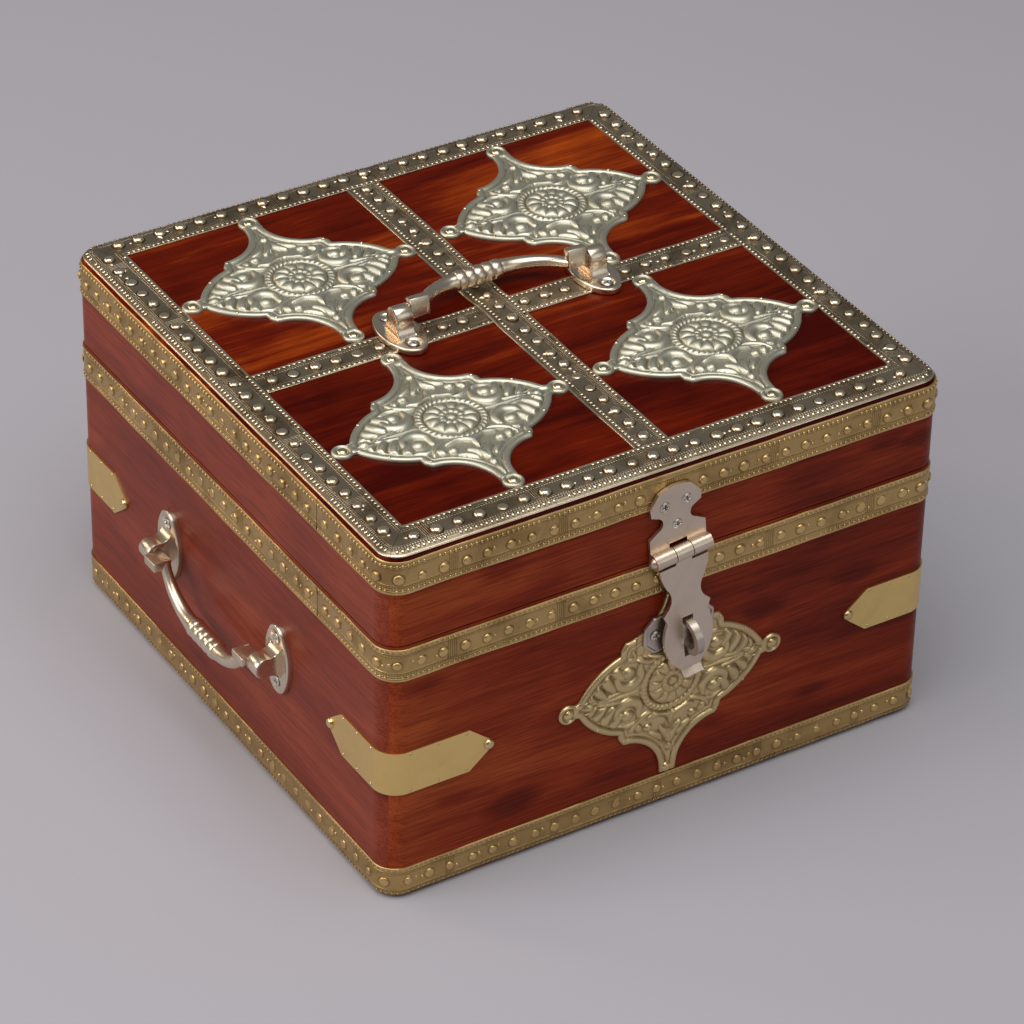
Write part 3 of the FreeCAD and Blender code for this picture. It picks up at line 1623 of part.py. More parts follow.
SIDE_FRAMES = {
    "left": (-1, Rotation(OUT["back"], OUT["down"], OUT["left"], "XYZ")),
    "right": (1, Rotation(OUT["front"], OUT["down"], OUT["right"], "XYZ")),
}
for side, (sign, rotation) in SIDE_FRAMES.items():
    for end, direction in (("front", -1), ("back", 1)):
        along = -direction * sign
        pad = handle_pad(f"{side}_pad_{end}", -along)
        set_pad(
            f"{side}_handle_pad_{end}",
            pad,
            rotation,
            f"{sign} * {WOOD_LENGTH} / 2",
            f"{direction} * {HALF_SPACING}",
            "side_handle_height",
            side_handle_screws,
        )
    bail = handle_bail(side)
    bail.Placement.Rotation = rotation
    move(bail, x=f"{sign} * ({WOOD_LENGTH} / 2 + handle_axis_height)", z="side_handle_height")
    subpart(f"{side}_handle_bail", bail)

doc.recompute()

for thing in doc.Objects:
    if "Invalid" in thing.State or "Error" in thing.State:
        raise RuntimeError(f"{thing.Label} failed: {thing.State}")
os.makedirs("parts", exist_ok=True)
for thing in subparts:
    shape = thing.Shape
    if shape.isNull() or not shape.isValid() or not shape.Solids:
        raise RuntimeError(f"{thing.Label} has no sound solid")
    shape.exportStep(os.path.join("parts", f"{thing.Label}.step"))
    print(thing.Label, len(shape.Solids), round(shape.Volume, 1))
print(len(subparts), "pieces")
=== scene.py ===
"""A square wooden chest bound in embossed brass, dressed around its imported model.

Sizes are written in millimetres, as in the part's source, and turned to metres once,
where a mesh is made. The origin is the middle of the underside and +Z is up.
"""

import sys

import json
import logging
import math
from dataclasses import dataclass, field
from enum import Enum
from itertools import product
from typing import Any, Callable, Iterable, Optional, Protocol, Sequence, Union

import bpy
import numpy as np
from mathutils import Matrix, Vector

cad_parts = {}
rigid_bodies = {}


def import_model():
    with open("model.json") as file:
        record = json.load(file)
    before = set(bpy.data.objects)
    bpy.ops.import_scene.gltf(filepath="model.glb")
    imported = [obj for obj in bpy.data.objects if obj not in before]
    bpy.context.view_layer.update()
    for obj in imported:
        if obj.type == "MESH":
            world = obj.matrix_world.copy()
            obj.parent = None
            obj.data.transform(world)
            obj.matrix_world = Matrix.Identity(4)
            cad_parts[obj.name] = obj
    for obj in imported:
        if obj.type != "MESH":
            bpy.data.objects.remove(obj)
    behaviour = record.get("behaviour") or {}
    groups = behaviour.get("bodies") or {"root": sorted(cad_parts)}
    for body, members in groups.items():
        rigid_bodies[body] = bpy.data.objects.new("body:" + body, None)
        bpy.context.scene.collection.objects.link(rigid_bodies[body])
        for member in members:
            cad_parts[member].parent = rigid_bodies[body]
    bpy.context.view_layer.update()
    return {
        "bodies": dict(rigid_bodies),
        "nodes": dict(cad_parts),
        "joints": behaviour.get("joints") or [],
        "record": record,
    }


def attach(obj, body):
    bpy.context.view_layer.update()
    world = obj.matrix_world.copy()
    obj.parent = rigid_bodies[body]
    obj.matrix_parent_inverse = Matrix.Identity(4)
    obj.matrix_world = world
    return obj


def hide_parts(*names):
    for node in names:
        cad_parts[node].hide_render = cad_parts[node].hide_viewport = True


log = logging.getLogger("chest")

Array = np.ndarray
Colour = tuple[float, float, float]
Numbers = tuple[float, ...]
Table = tuple[Numbers, ...]
MM = 0.001

# Sizes that several sub-assemblies share.
HALF = 150.0
STRIP_SHEET = 0.8
CORNER = 12.0
ARRIS = 7.8
FOOT = 4.4
LID_TOP = 192.0
SKIN_TOP = LID_TOP + STRIP_SHEET
WOOD_FACE = HALF - STRIP_SHEET


def operator(operation: str, swapped: bool = False) -> Callable[..., "Signal"]:
    """A method that adds one Math node, with the signal as its first or its last term.

    Args:
        operation: the Math node's operation.
        swapped: whether the signal is the last term.

    Returns:
        The method.
    """

    def method(self: "Signal", *others: Any) -> "Signal":
        """The operation on the signal and the other terms."""
        terms = (*others, self) if swapped else (self, *others)
        return self.graph.node("ShaderNodeMath", {"operation": operation}, dict(enumerate(terms)))

    return method


class Signal:
    """A shader socket that can be reckoned with like a number."""

    __add__ = operator("ADD")
    __radd__ = operator("ADD", swapped=True)
    __sub__ = operator("SUBTRACT")
    __rsub__ = operator("SUBTRACT", swapped=True)
    __mul__ = operator("MULTIPLY")
    __truediv__ = operator("DIVIDE")
    abs = operator("ABSOLUTE")
    fract = operator("FRACT")
    cos = operator("COSINE")
    at_least = operator("MAXIMUM")
    at_most = operator("MINIMUM")

    def __init__(self, graph: "Graph", socket: bpy.types.NodeSocket) -> None:
        """Wrap an output socket of a graph."""
        self.graph = graph
        self.socket = socket

    def step(self, low: float, high: float) -> "Signal":
        """A smooth step from 0 at low to 1 at high; low may be the larger one.

        Args:
            low: where it is 0.
            high: where it is 1.

        Returns:
            The step.
        """
        settings = {"interpolation_type": "SMOOTHSTEP", "clamp": True}
        values = {"Value": self, "From Min": min(low, high), "From Max": max(low, high)}
        stepped = self.graph.node("ShaderNodeMapRange", settings, values)
        return 1.0 - stepped if low > high else stepped


class Graph:
    """The node tree of one material, built with a Principled shader."""

    def __init__(self, name: str) -> None:
        """Start an empty material of that name.

        Args:
            name: the material's name.
        """
        self.material = bpy.data.materials.new(name)
        self.material.use_nodes = True
        self.tree = self.material.node_tree
        self.tree.nodes.clear()
        self.shader = self.tree.nodes.new("ShaderNodeBsdfPrincipled")
        output = self.tree.nodes.new("ShaderNodeOutputMaterial")
        self.tree.links.new(self.shader.outputs["BSDF"], output.inputs["Surface"])

    def node(
        self,
        kind: str,
        settings: Optional[dict[str, Any]] = None,
        values: Optional[dict[Union[str, int], Any]] = None,
        output: Union[str, int] = 0,
    ) -> Signal:
        """Add a node of any type.

        Args:
            kind: the node's type.
            settings: its properties, set first; "stops" are a ramp's (place, colour) pairs.
            values: numbers or links of its input sockets, by name or number.
            output: the output socket that is wanted.

        Returns:
            That output, ready to be reckoned with.
        """
        made = self.tree.nodes.new(kind)
        for key, setting in (settings or {}).items():
            if key == "stops":
                self._stops(made.color_ramp, setting)
            else:
                setattr(made, key, setting)
        for key, value in (values or {}).items():
            self._feed(made.inputs[key], value)
        return Signal(self, made.outputs[output])

    @staticmethod
    def _stops(ramp: bpy.types.ColorRamp, stops: Sequence[tuple[float, Colour]]) -> None:
        """Set the stops of a colour ramp.

        Args:
            ramp: the node's ramp.
            stops: its (place, colour) pairs.
        """
        while len(ramp.elements) < len(stops):
            ramp.elements.new(1.0)
        for element, (place, colour) in zip(ramp.elements, stops):
            element.position = place
            element.color = (*colour, 1.0)

    def _feed(self, socket: bpy.types.NodeSocket, value: Any) -> None:
        """Link a signal to a socket, or set a constant on it.

        Args:
            socket: an input.
            value: a signal, number, colour or vector.
        """
        if isinstance(value, Signal):
            self.tree.links.new(value.socket, socket)
        elif isinstance(value, (tuple, list)) and socket.type == "RGBA" and len(value) == 3:
            socket.default_value = (*value, 1.0)
        else:
            socket.default_value = value

    def place(self) -> Signal:
        """Object coordinates, in metres."""
        return self.node("ShaderNodeTexCoord", output="Object")

    def own(self, name: str) -> Signal:
        """A piece's own attribute of numbers."""
        return self.node("ShaderNodeAttribute", {"attribute_name": name}, output="Fac")

    def turned(self, vector: Signal, scale: Sequence[float], turn: float = 0.0) -> Signal:
        """A vector turned about Z and then scaled by Mapping nodes."""
        first = self.node("ShaderNodeMapping", {}, {"Vector": vector, "Rotation": (0, 0, turn)})
        return self.node("ShaderNodeMapping", {}, {"Vector": first, "Scale": tuple(scale)})

    def noise(self, vector: Signal, scale: float, *spread: float) -> Signal:
        """Smooth noise from 0 to 1; spread is its detail, roughness and distortion.

        Args:
            vector: where it is read.
            scale: its scale.
            spread: its detail, roughness and distortion.

        Returns:
            The noise.
        """
        values = {"Vector": vector, "Scale": scale, "Detail": 2.0}
        values.update(zip(("Detail", "Roughness", "Distortion"), spread))
        return self.node("ShaderNodeTexNoise", {}, values)

    def ramp(self, value: Signal, stops: Sequence[tuple[float, Colour]]) -> Signal:
        """Colours from a value by a ramp."""
        return self.node("ShaderNodeValToRGB", {"stops": stops}, {0: value})

    def mix(self, share: Union[Signal, float], first: Any, second: Any, blend: str = "MIX") -> Signal:
        """Mix two colours by a share."""
        settings = {"data_type": "RGBA", "blend_type": blend}
        return self.node("ShaderNodeMix", settings, {0: share, 6: first, 7: second}, output=2)

    def relief(self, height: Signal, depth: float, strength: float = 1.0) -> Signal:
        """A bumped normal from a height of 0 to 1 and its depth in metres."""
        values = {"Height": height, "Distance": depth, "Strength": strength}
        return self.node("ShaderNodeBump", {}, values)

    def finish(self, **sockets: Any) -> bpy.types.Material:
        """Set or link the shader's own sockets, and give the material.

        Args:
            sockets: values by their sockets' names, with _ for a space.

        Returns:
            The material.
        """
        for name, value in sockets.items():
            self._feed(self.shader.inputs[name.replace("_", " ")], value)
        return self.material


@dataclass(frozen=True)
class Timber:
    """Polished red-brown hardwood with its grain along X or Y."""

    name: str
    dark: Colour
    middle: Colour
    light: Colour
    turn: float = 0.0
    drift: tuple[float, float] = (0.0, 0.0)
    level: float = 0.0
    knots: float = 0.0
    roughness: float = 0.34
    specular: float = 0.13

    FIGURE = (2.2, 20.0, 20.0)
    STREAKS = (6.0, 190.0, 190.0)
    PORES = (45.0, 1500.0, 1500.0)
    KNOT_CELLS = (15.0, 33.0, 33.0)
    TONES = (0.38, 0.50, 0.66)
    PORE_COLOUR = (0.35, 0.28, 0.26)
    PORE_SHARE = 0.45
    PORE_DEPTH = 0.00005

    def material(self) -> bpy.types.Material:
        """Long figure, growth streaks, short dark pores, knots and a polished surface.

        Returns:
            The material.
        """
        graph = Graph(self.name)
        place = graph.turned(graph.place(), (1, 1, 1), self.turn)
        figure = graph.noise(graph.turned(place, self.FIGURE), 1.0, 5.0, 0.62, 1.3)
        streaks = graph.noise(graph.turned(place, self.STREAKS), 1.0, 4.0, 0.6, 0.25)
        pores = graph.noise(graph.turned(place, self.PORES), 1.0, 2.0, 0.5)
        cloud = graph.noise(place, 11.0, 3.0, 0.55, 0.8)
        tone = figure * 0.56 + streaks * 0.20 + cloud * 0.24 + self.level
        if any(self.drift):
            across, along, _ = split(graph, graph.place())
            tone = tone + across * self.drift[0] + along * self.drift[1]
        if self.knots:
            cells = {"Vector": graph.turned(place, self.KNOT_CELLS), "Scale": 1.0}
            away = graph.node("ShaderNodeTexVoronoi", {}, cells, "Distance")
            tone = tone - (away + (cloud - 0.5) * 0.3).step(0.28, 0.09) * self.knots
        colour = graph.ramp(tone, list(zip(self.TONES, (self.dark, self.middle, self.light))))
        deep = graph.mix(pores.step(0.56, 0.40), colour, self.PORE_COLOUR, "MULTIPLY")
        return graph.finish(
            Base_Color=graph.mix(self.PORE_SHARE, colour, deep),
            Roughness=self.roughness + (cloud - 0.5) * 0.16 + (streaks - 0.5) * 0.10,
            Normal=graph.relief(pores * 0.5 + streaks * 0.5, self.PORE_DEPTH, 0.6),
            Specular_IOR_Level=self.specular,
        )


@dataclass(frozen=True)
class Metal:
    """A worn metal: its colour, its darker hollows and its fine surface."""

    name: str
    bright: Colour
    # The dark colour that both tarnish and painted shade darken towards.
    tarnish_and_shade_colour: Colour
    roughness: float = 0.3
    spread: float = 0.12
    patina: float = 0.35
    grain: float = 700.0
    depth: float = 0.00003
    hollow: str = ""
    hollow_from: float = 0.5
    hollow_tarnish_and_shade: float = 0.75
    rows: bool = False
    brushed: float = 0.0

    ROW_DEPTH = 0.00034
    BRUSH = (30.0, 30.0, 1400.0)

    def material(self) -> bpy.types.Material:
        """Tarnish in clouds, and tarnish with painted shade in hollows, over a bright metal with a fine bump.

        Returns:
            The material.
        """
        graph = Graph(self.name)
        place = graph.place()
        cloud = graph.noise(place, 38.0, 4.0, 0.6, 0.6)
        fine = graph.noise(place, self.grain, 2.0)
        spots = graph.noise(place, 260.0, 3.0, 0.7)
        tarnish_and_shade = cloud.step(0.42, 0.72) * self.patina + spots.step(0.60, 0.74) * (0.5 * self.patina)
        height = fine * 0.6 + spots * 0.4
        bump_depth = self.depth
        # Marked hollows darken towards the dark colour: partly tarnish, partly painted shade in hollows and
        # at the feet of raised marks.
        if self.hollow:
            tarnish_and_shade = tarnish_and_shade + graph.own(self.hollow).step(self.hollow_from, 1.0) * self.hollow_tarnish_and_shade
        # An embossed strip's rows add their own darkening: tarnish and painted shade in troughs and along
        # lines.
        if self.rows:
            embossed = EmbossedRows(graph)
            tarnish_and_shade = tarnish_and_shade + embossed.tarnish_and_shade * 0.55
            height = embossed.height + fine * 0.06
            bump_depth = self.ROW_DEPTH
        if self.brushed:
            height = height + graph.noise(graph.turned(place, self.BRUSH), 1.0, 2.0) * self.brushed
        tarnish_and_shade = tarnish_and_shade.at_most(1.0).at_least(0.0)
        return graph.finish(
            Base_Color=graph.mix(tarnish_and_shade, self.bright, self.tarnish_and_shade_colour),
            Metallic=1.0,
            Roughness=self.roughness + (cloud - 0.5) * self.spread + tarnish_and_shade * 0.16,
            Normal=graph.relief(height, bump_depth),
        )


class EmbossedRows:
    """The finest rows of an embossed strip, from its own UV map in millimetres along and across."""

    PITCH = 1.36
    COMB_PITCH = 1.05
    REPEAT = 56.5
    BEAD_ROWS = (3.9, 13.7, 15.0)
    RIDGES = (2.75, 12.75, 15.9)
    DARK_LINES = (3.3, 13.3)
    COMB_SPAN = ((44.0, 44.6), (49.6, 49.0))
    FIELD = ((2.6, 3.4), (13.4, 12.4))

    def __init__(self, graph: Graph) -> None:
        """Work out the rows' height, and where tarnish and painted shade darken them.

        Args:
            graph: the strip's own node tree.
        """
        mapped = graph.node("ShaderNodeUVMap", {"uv_map": "strip"})
        along, across, _ = (axis * (1 / MM) for axis in split(graph, mapped))
        worn = graph.noise(graph.turned(mapped, (22.0, 60.0, 1.0)), 1.0, 2.0)
        beat = ((along / self.PITCH).fract() - 0.5) * self.PITCH

        def bead(level: float) -> Signal:
            """A row of round beads, one on each beat."""
            aside = across - level
            return (1.0 - (beat * beat + aside * aside) / 0.34).at_least(0.0)

        def line(level: float, wide: float, narrow: float) -> Signal:
            """A line along the strip, soft from wide to narrow."""
            return (across - level).abs().step(wide, narrow)

        rows = total(bead(level) for level in self.BEAD_ROWS) * worn.step(0.34, 0.52)
        ridges = total(line(level, 0.42, 0.05) * 0.7 for level in self.RIDGES)
        place = (along / self.REPEAT).fract() * self.REPEAT
        group = place.step(*self.COMB_SPAN[0]) * place.step(*self.COMB_SPAN[1])
        comb_wave = ((along / self.COMB_PITCH) * (2.0 * math.pi)).cos() * 0.5 + 0.5
        struck = group * (across.step(*self.FIELD[0]) * across.step(*self.FIELD[1]))
        self.height = rows + ridges * worn.step(0.30, 0.46) + comb_wave * struck * 0.8
        # Darker in the comb's troughs and along two lines beside the inner ridges: tarnish and painted shade.
        lines = total(line(level, 0.34, 0.12) for level in self.DARK_LINES)
        self.tarnish_and_shade = (comb_wave * struck).step(0.6, 0.0) * struck * 0.5 + lines * 0.45


def total(signals: Iterable[Signal]) -> Signal:
    """The sum of several signals.

    Args:
        signals: what is added up.

    Returns:
        The sum.
    """
    first, *rest = signals
    for signal in rest:
        first = first + signal
    return first


def split(graph: Graph, vector: Signal) -> tuple[Signal, Signal, Signal]:
    """The X, Y and Z of a vector."""
    node = graph.node("ShaderNodeSeparateXYZ", {}, {0: vector}).socket.node
    return tuple(Signal(graph, node.outputs[number]) for number in range(3))


# A distance beyond all others, the ways to an ornament's ears, and the darkening of hollows: tarnish and
# painted shade.
FAR = 1e9
EARS = ((1, 0), (0, 1), (-1, 0), (0, -1))
GRIME_AND_SHADE = {"hollow": "grime", "hollow_from": 0.0, "hollow_tarnish_and_shade": 1.0}
ROWS = {**GRIME_AND_SHADE, "rows": True}


class Finish(Enum):
    """Every finish on the chest."""

    SIDE_WOOD = Timber(
        "side_timber", (0.130, 0.013, 0.005), (0.250, 0.029, 0.008), (0.400, 0.075, 0.018),
        drift=(-0.66, 0.0), level=-0.01, knots=0.12, specular=0.085,
    )
    SIDE_WOOD_ACROSS = Timber(
        "side_timber_across", (0.130, 0.016, 0.008), (0.210, 0.030, 0.012), (0.310, 0.056, 0.023),
        turn=math.pi / 2, level=0.03, specular=0.135,
    )
    LID_WOOD = Timber(
        "lid_timber", (0.050, 0.0018, 0.0003), (0.125, 0.0085, 0.0008), (0.430, 0.070, 0.0045),
        drift=(-0.05, 0.62), level=-0.03, roughness=0.26, specular=0.05,
    )
    FLOOR_WOOD = Timber(
        "floor_timber", (0.20, 0.09, 0.04), (0.33, 0.17, 0.08), (0.42, 0.24, 0.12), roughness=0.6
    )
    # The top's brass is paler and greyer than the same brass on the sides: a painted reflection of the bright
    # sky over the top.
    TOP_STRIP = Metal("top_strip_brass", (0.84, 0.71, 0.51), (0.125, 0.080, 0.038), 0.27, **ROWS)
    SIDE_STRIP = Metal(
        "side_strip_brass", (0.74, 0.51, 0.215), (0.20, 0.115, 0.036), 0.31, **{**ROWS, "hollow_tarnish_and_shade": 0.62}
    )
    PLATE = Metal(
        "brushed_sheet_brass", (0.84, 0.60, 0.23), (0.50, 0.33, 0.12), 0.33, patina=0.22, brushed=0.8
    )
    # Paler and greyer than the front ornament's brass: painted sky reflection.
    ORNAMENT = Metal(
        "top_repousse_brass_painted_sky_reflection", (0.61, 0.585, 0.465), (0.23, 0.205, 0.125), 0.46, patina=0.16, hollow="hollow"
    )
    FRONT_ORNAMENT = Metal(
        "yellow_repousse_brass", (0.68, 0.52, 0.27), (0.27, 0.18, 0.075), 0.34, patina=0.20, hollow="hollow"
    )
    # Paler than the side nails: painted sky reflection.
    TOP_NAIL = Metal("top_nail_brass", (0.74, 0.64, 0.42), (0.30, 0.22, 0.12), 0.2)
    SIDE_NAIL = Metal("side_nail_brass", (0.74, 0.56, 0.28), (0.34, 0.22, 0.09), 0.24)
    HANDLE = Metal(
        "pale_cast_metal", (0.76, 0.65, 0.51), (0.34, 0.25, 0.175), 0.28, patina=0.30, grain=900.0, depth=4e-5
    )
    HASP = Metal(
        "satin_hasp_metal", (0.72, 0.595, 0.475), (0.40, 0.30, 0.22), 0.34, patina=0.25, brushed=0.2
    )
    STAPLE = Metal("worn_staple_metal", (0.60, 0.52, 0.45), (0.20, 0.15, 0.12), 0.34, patina=0.6)
    SCREW = Metal(
        "plated_screw_metal", (0.74, 0.68, 0.60), (0.13, 0.10, 0.08), 0.27, **{**GRIME_AND_SHADE, "hollow_tarnish_and_shade": 0.9}
    )
    HINGE = Metal("plated_hinge_metal", (0.55, 0.51, 0.46), (0.25, 0.20, 0.16), 0.34, patina=0.5)

    def of(self) -> bpy.types.Material:
        """The material of this finish, made once.

        Returns:
            The material.
        """
        if self not in MADE:
            MADE[self] = self.value.material()
        return MADE[self]


MADE: dict[Finish, bpy.types.Material] = {}


@dataclass
class Shape:
    """Points and faces of a closed surface, in millimetres."""

    points: Array
    quads: Array = field(default_factory=lambda: np.zeros((0, 4), int))
    triangles: Array = field(default_factory=lambda: np.zeros((0, 3), int))
    quad_uv: Optional[Array] = None
    marks: dict[str, Array] = field(default_factory=dict)

    def outward(self) -> "Shape":
        """The same shape with its faces outwards: the sum of its signed cones is positive.

        Returns:
            The shape itself.
        """
        p = self.points - self.points.mean(0)
        fans = [self.triangles, self.quads[:, [0, 1, 2]], self.quads[:, [0, 2, 3]]]
        volume = 0.0
        for fan in fans:
            a, b, c = p[fan[:, 0]], p[fan[:, 1]], p[fan[:, 2]]
            volume += float((a * np.cross(b, c)).sum())
        if volume < 0:
            self.quads = self.quads[:, ::-1]
            self.triangles = self.triangles[:, ::-1]
            if self.quad_uv is not None:
                self.quad_uv = self.quad_uv[:, ::-1]
        return self

    @staticmethod
    def join(shapes: Iterable["Shape"]) -> "Shape":
        """One shape of several, each still closed.

        Args:
            shapes: closed shapes; empty ones are dropped.

        Returns:
            The joined shape.
        """
        parts = [shape for shape in shapes if len(shape.points)]
        starts = np.cumsum([0] + [len(part.points) for part in parts[:-1]])
        names = {name for part in parts for name in part.marks}
        quad_uv = None
        if any(part.quad_uv is not None for part in parts):
            blank = [np.zeros((len(part.quads), 4, 2)) for part in parts]
            maps = [none if part.quad_uv is None else part.quad_uv for part, none in zip(parts, blank)]
            quad_uv = np.concatenate(maps)

        def marked(name: str) -> Array:
            """A mark of every point, 0 on a shape that lacks it."""
            return np.concatenate([part.marks.get(name, np.zeros(len(part.points))) for part in parts])

        return Shape(
            np.concatenate([part.points for part in parts]),
            np.concatenate([part.quads + start for part, start in zip(parts, starts)]),
            np.concatenate([part.triangles + start for part, start in zip(parts, starts)]),
            quad_uv,
            {name: marked(name) for name in names},
        )


def skinned(
    rings: Array,
    along: Optional[Array] = None,
    across: Optional[Array] = None,
    marks: Optional[dict[str, Array]] = None,
) -> Shape:
    """A closed surface through a row of rings.

    Ring i is rings[i, :, :], a closed loop. Quads join each ring to the next one, and a
    fan to the ring's mean point closes the first and the last ring.

    Args:
        rings: points, (rings, points in a ring, 3).
        along: a UV value of each point of a ring, and once more for its first point, in metres.
        across: the other UV value, the same for every ring.
        marks: numbers per point, (rings, points in a ring), by name.

    Returns:
        The shape, facing outwards.
    """
    rows, columns = rings.shape[:2]
    index = np.arange(rows * columns).reshape(rows, columns)
    right = np.roll(index, -1, axis=1)
    quads = np.stack([index[:-1], index[1:], right[1:], right[:-1]], -1).reshape(-1, 4)
    ends = np.array([rings[0].mean(0), rings[-1].mean(0)])
    first, last = rows * columns, rows * columns + 1
    low = np.stack([np.full(columns, first), index[0], right[0]], -1)
    high = np.stack([np.full(columns, last), right[-1], index[-1]], -1)
    mapped = None
    if along is not None and across is not None:
        v = np.repeat(across[None, :], rows - 1, axis=0)
        corners = [(along[:-1, :-1], v[:, :-1]), (along[1:, :-1], v[:, :-1])]
        corners += [(along[1:, 1:], v[:, 1:]), (along[:-1, 1:], v[:, 1:])]
        mapped = np.stack([np.stack(pair, -1) for pair in corners], -2).reshape(-1, 4, 2)
    kept = {
        name: np.concatenate([values.ravel(), [values[0].mean(), values[-1].mean()]])
        for name, values in (marks or {}).items()
    }
    points = np.concatenate([rings.reshape(-1, 3), ends])
    return Shape(points, quads, np.concatenate([low, high]), mapped, kept).outward()


def circles(radius: Array, height: Array, sides: int) -> Array:
    """A ring of points round Z for each radius and height, (rings, sides, 3).

    Args:
        radius: of each ring.
        height: of each ring.
        sides: points in a ring.

    Returns:
        The points.
    """
    turn = np.linspace(0, 2 * math.pi, sides, endpoint=False)
    r, z = np.asarray(radius)[:, None], np.asarray(height)[:, None]
    return np.stack([r * np.cos(turn), r * np.sin(turn), z + 0 * turn], -1)


def lathe(profile: Sequence[tuple[float, float]], sides: int) -> Shape:
    """A profile of (radius, height) turned round Z: x = r cos a, y = r sin a, z = height."""
    radius, height = np.array(profile, float).T
    return skinned(circles(radius, height, sides))


def dome(sides: int, levels: int, sunk: float = 0.3) -> Shape:
    """A cap of radius and rise 1, whose height is the square root of 1 - r squared.

    Args:
        sides: points round it.
        levels: rings up it.
        sunk: how far its foot goes down.

    Returns:
        The cap.
    """
    share = np.cos(np.linspace(0, math.pi / 2, levels))
    share[-1] = 0.04
    cap = [(float(s), math.sqrt(max(0.0, 1 - s * s))) for s in share]
    return lathe([(1.0, -sunk), *cap], sides)


def scattered(unit: Shape, frames: "Frames", scale: Array) -> Shape:
    """A unit shape set on every frame, with its own scale along, across and out.

    Args:
        unit: a shape made at the origin, facing +Z.
        frames: where it goes.
        scale: three factors for each frame.

    Returns:
        All of them as one shape.
    """
    count = len(frames.origin)
    if count == 0:
        return Shape(np.zeros((0, 3)))
    local = unit.points[None] * scale[:, None, :]
    points = (
        frames.origin[:, None]
        + frames.along[:, None] * local[..., :1]
        + frames.across[:, None] * local[..., 1:2]
        + frames.out[:, None] * local[..., 2:]
    )
    shift = (np.arange(count) * len(unit.points))[:, None, None]
    quads = (unit.quads[None] + shift).reshape(-1, 4)
    triangles = (unit.triangles[None] + shift).reshape(-1, 3)
    marks = {name: np.tile(values, count) for name, values in unit.marks.items()}
    return Shape(points.reshape(-1, 3), quads, triangles, None, marks).outward()


def grimed_and_shaded(unit: Shape, levels: Sequence[float], shares: Sequence[float]) -> Shape:
    """The same shape with a mark of grime and painted shade by its points' height, in straight spans between
    levels.
    """
    unit.marks["grime"] = np.interp(unit.points[:, 2], levels, shares)
    return unit


@dataclass
class Frames:
    """Places on a surface with the directions along, across and out of it."""

    origin: Array
    along: Array
    across: Array
    out: Array

    def lifted(self, height: Array) -> Array:
        """The places raised along the outward direction."""
        return self.origin + self.out * np.asarray(height)[..., None]

    @staticmethod
    def one(origin: Sequence[float], along: Sequence[float], out: Sequence[float]) -> "Frames":
        """One frame from its place, its along direction and its outward direction."""
        a, o = np.array(along, float), np.array(out, float)
        return Frames(np.array([origin], float), a[None], np.cross(o, a)[None], o[None])

    @staticmethod
    def many(items: Sequence["Frames"]) -> "Frames":
        """Several sets of frames as one."""
        names = ("origin", "along", "across", "out")
        return Frames(*(np.concatenate([getattr(item, name) for item in items]) for name in names))

    def kept(self, room: Array) -> "Frames":
        """The frames that a mask lets through."""
        return Frames(self.origin[room], self.along[room], self.across[room], self.out[room])


def forward(place: Sequence[float]) -> Frames:
    """A frame at a place on the front, facing forward."""
    return Frames.one(place, (1, 0, 0), (0, -1, 0))


def put(shape: Shape, frame: Frames) -> Shape:
    """A shape made at the origin facing +Z, set on one frame."""
    return scattered(shape, frame, np.ones((1, 3)))


def piece(
    name: str,
    shape: Shape,
    finish: Finish,
    body: str,
    slot: str,
    replaced: Sequence[str] = (),
    crease: float = 38.0,
) -> bpy.types.Object:
    """Make a Blender object of a shape, in metres, that rides on a body.

    Args:
        name: the piece's name.
        shape: its surface in millimetres.
        finish: its finish.
        body: the CAD body that it moves with.
        slot: the record's material slot; not used.
        replaced: the CAD nodes that it stands for.
        crease: edges sharper than this many degrees stay sharp.

    Returns:
        The object.
    """
    mesh = bpy.data.meshes.new(name)
    corners = np.concatenate([shape.quads.ravel(), shape.triangles.ravel()]).astype(np.int32)
    quads, triangles = len(shape.quads), len(shape.triangles)
    starts = np.concatenate([np.arange(quads) * 4, quads * 4 + np.arange(triangles) * 3])
    mesh.vertices.add(len(shape.points))
    mesh.vertices.foreach_set("co", (shape.points * MM).astype(np.float32).ravel())
    mesh.loops.add(len(corners))
    mesh.loops.foreach_set("vertex_index", corners)
    mesh.polygons.add(quads + triangles)
    mesh.polygons.foreach_set("loop_start", starts.astype(np.int32))
    mesh.polygons.foreach_set("use_smooth", np.ones(quads + triangles, bool))
    if shape.quad_uv is not None:
        layer = mesh.uv_layers.new(name="strip")
        uv = np.concatenate([shape.quad_uv.reshape(-1, 2), np.zeros((triangles * 3, 2))])
        layer.data.foreach_set("uv", uv.astype(np.float32).ravel())
    for mark, values in shape.marks.items():
        attribute = mesh.attributes.new(mark, "FLOAT", "POINT")
        attribute.data.foreach_set("value", values.astype(np.float32))
    mesh.update(calc_edges=True)
    mesh.validate()
    mesh.set_sharp_from_angle(angle=math.radians(crease))
    mesh.materials.append(finish.of())
    thing = bpy.data.objects.new(name, mesh)
    bpy.context.scene.collection.objects.link(thing)
    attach(thing, body)
    if replaced:
        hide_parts(*replaced)
    log.info("%s: %d points, %d faces", name, len(shape.points), quads + triangles)
    return thing


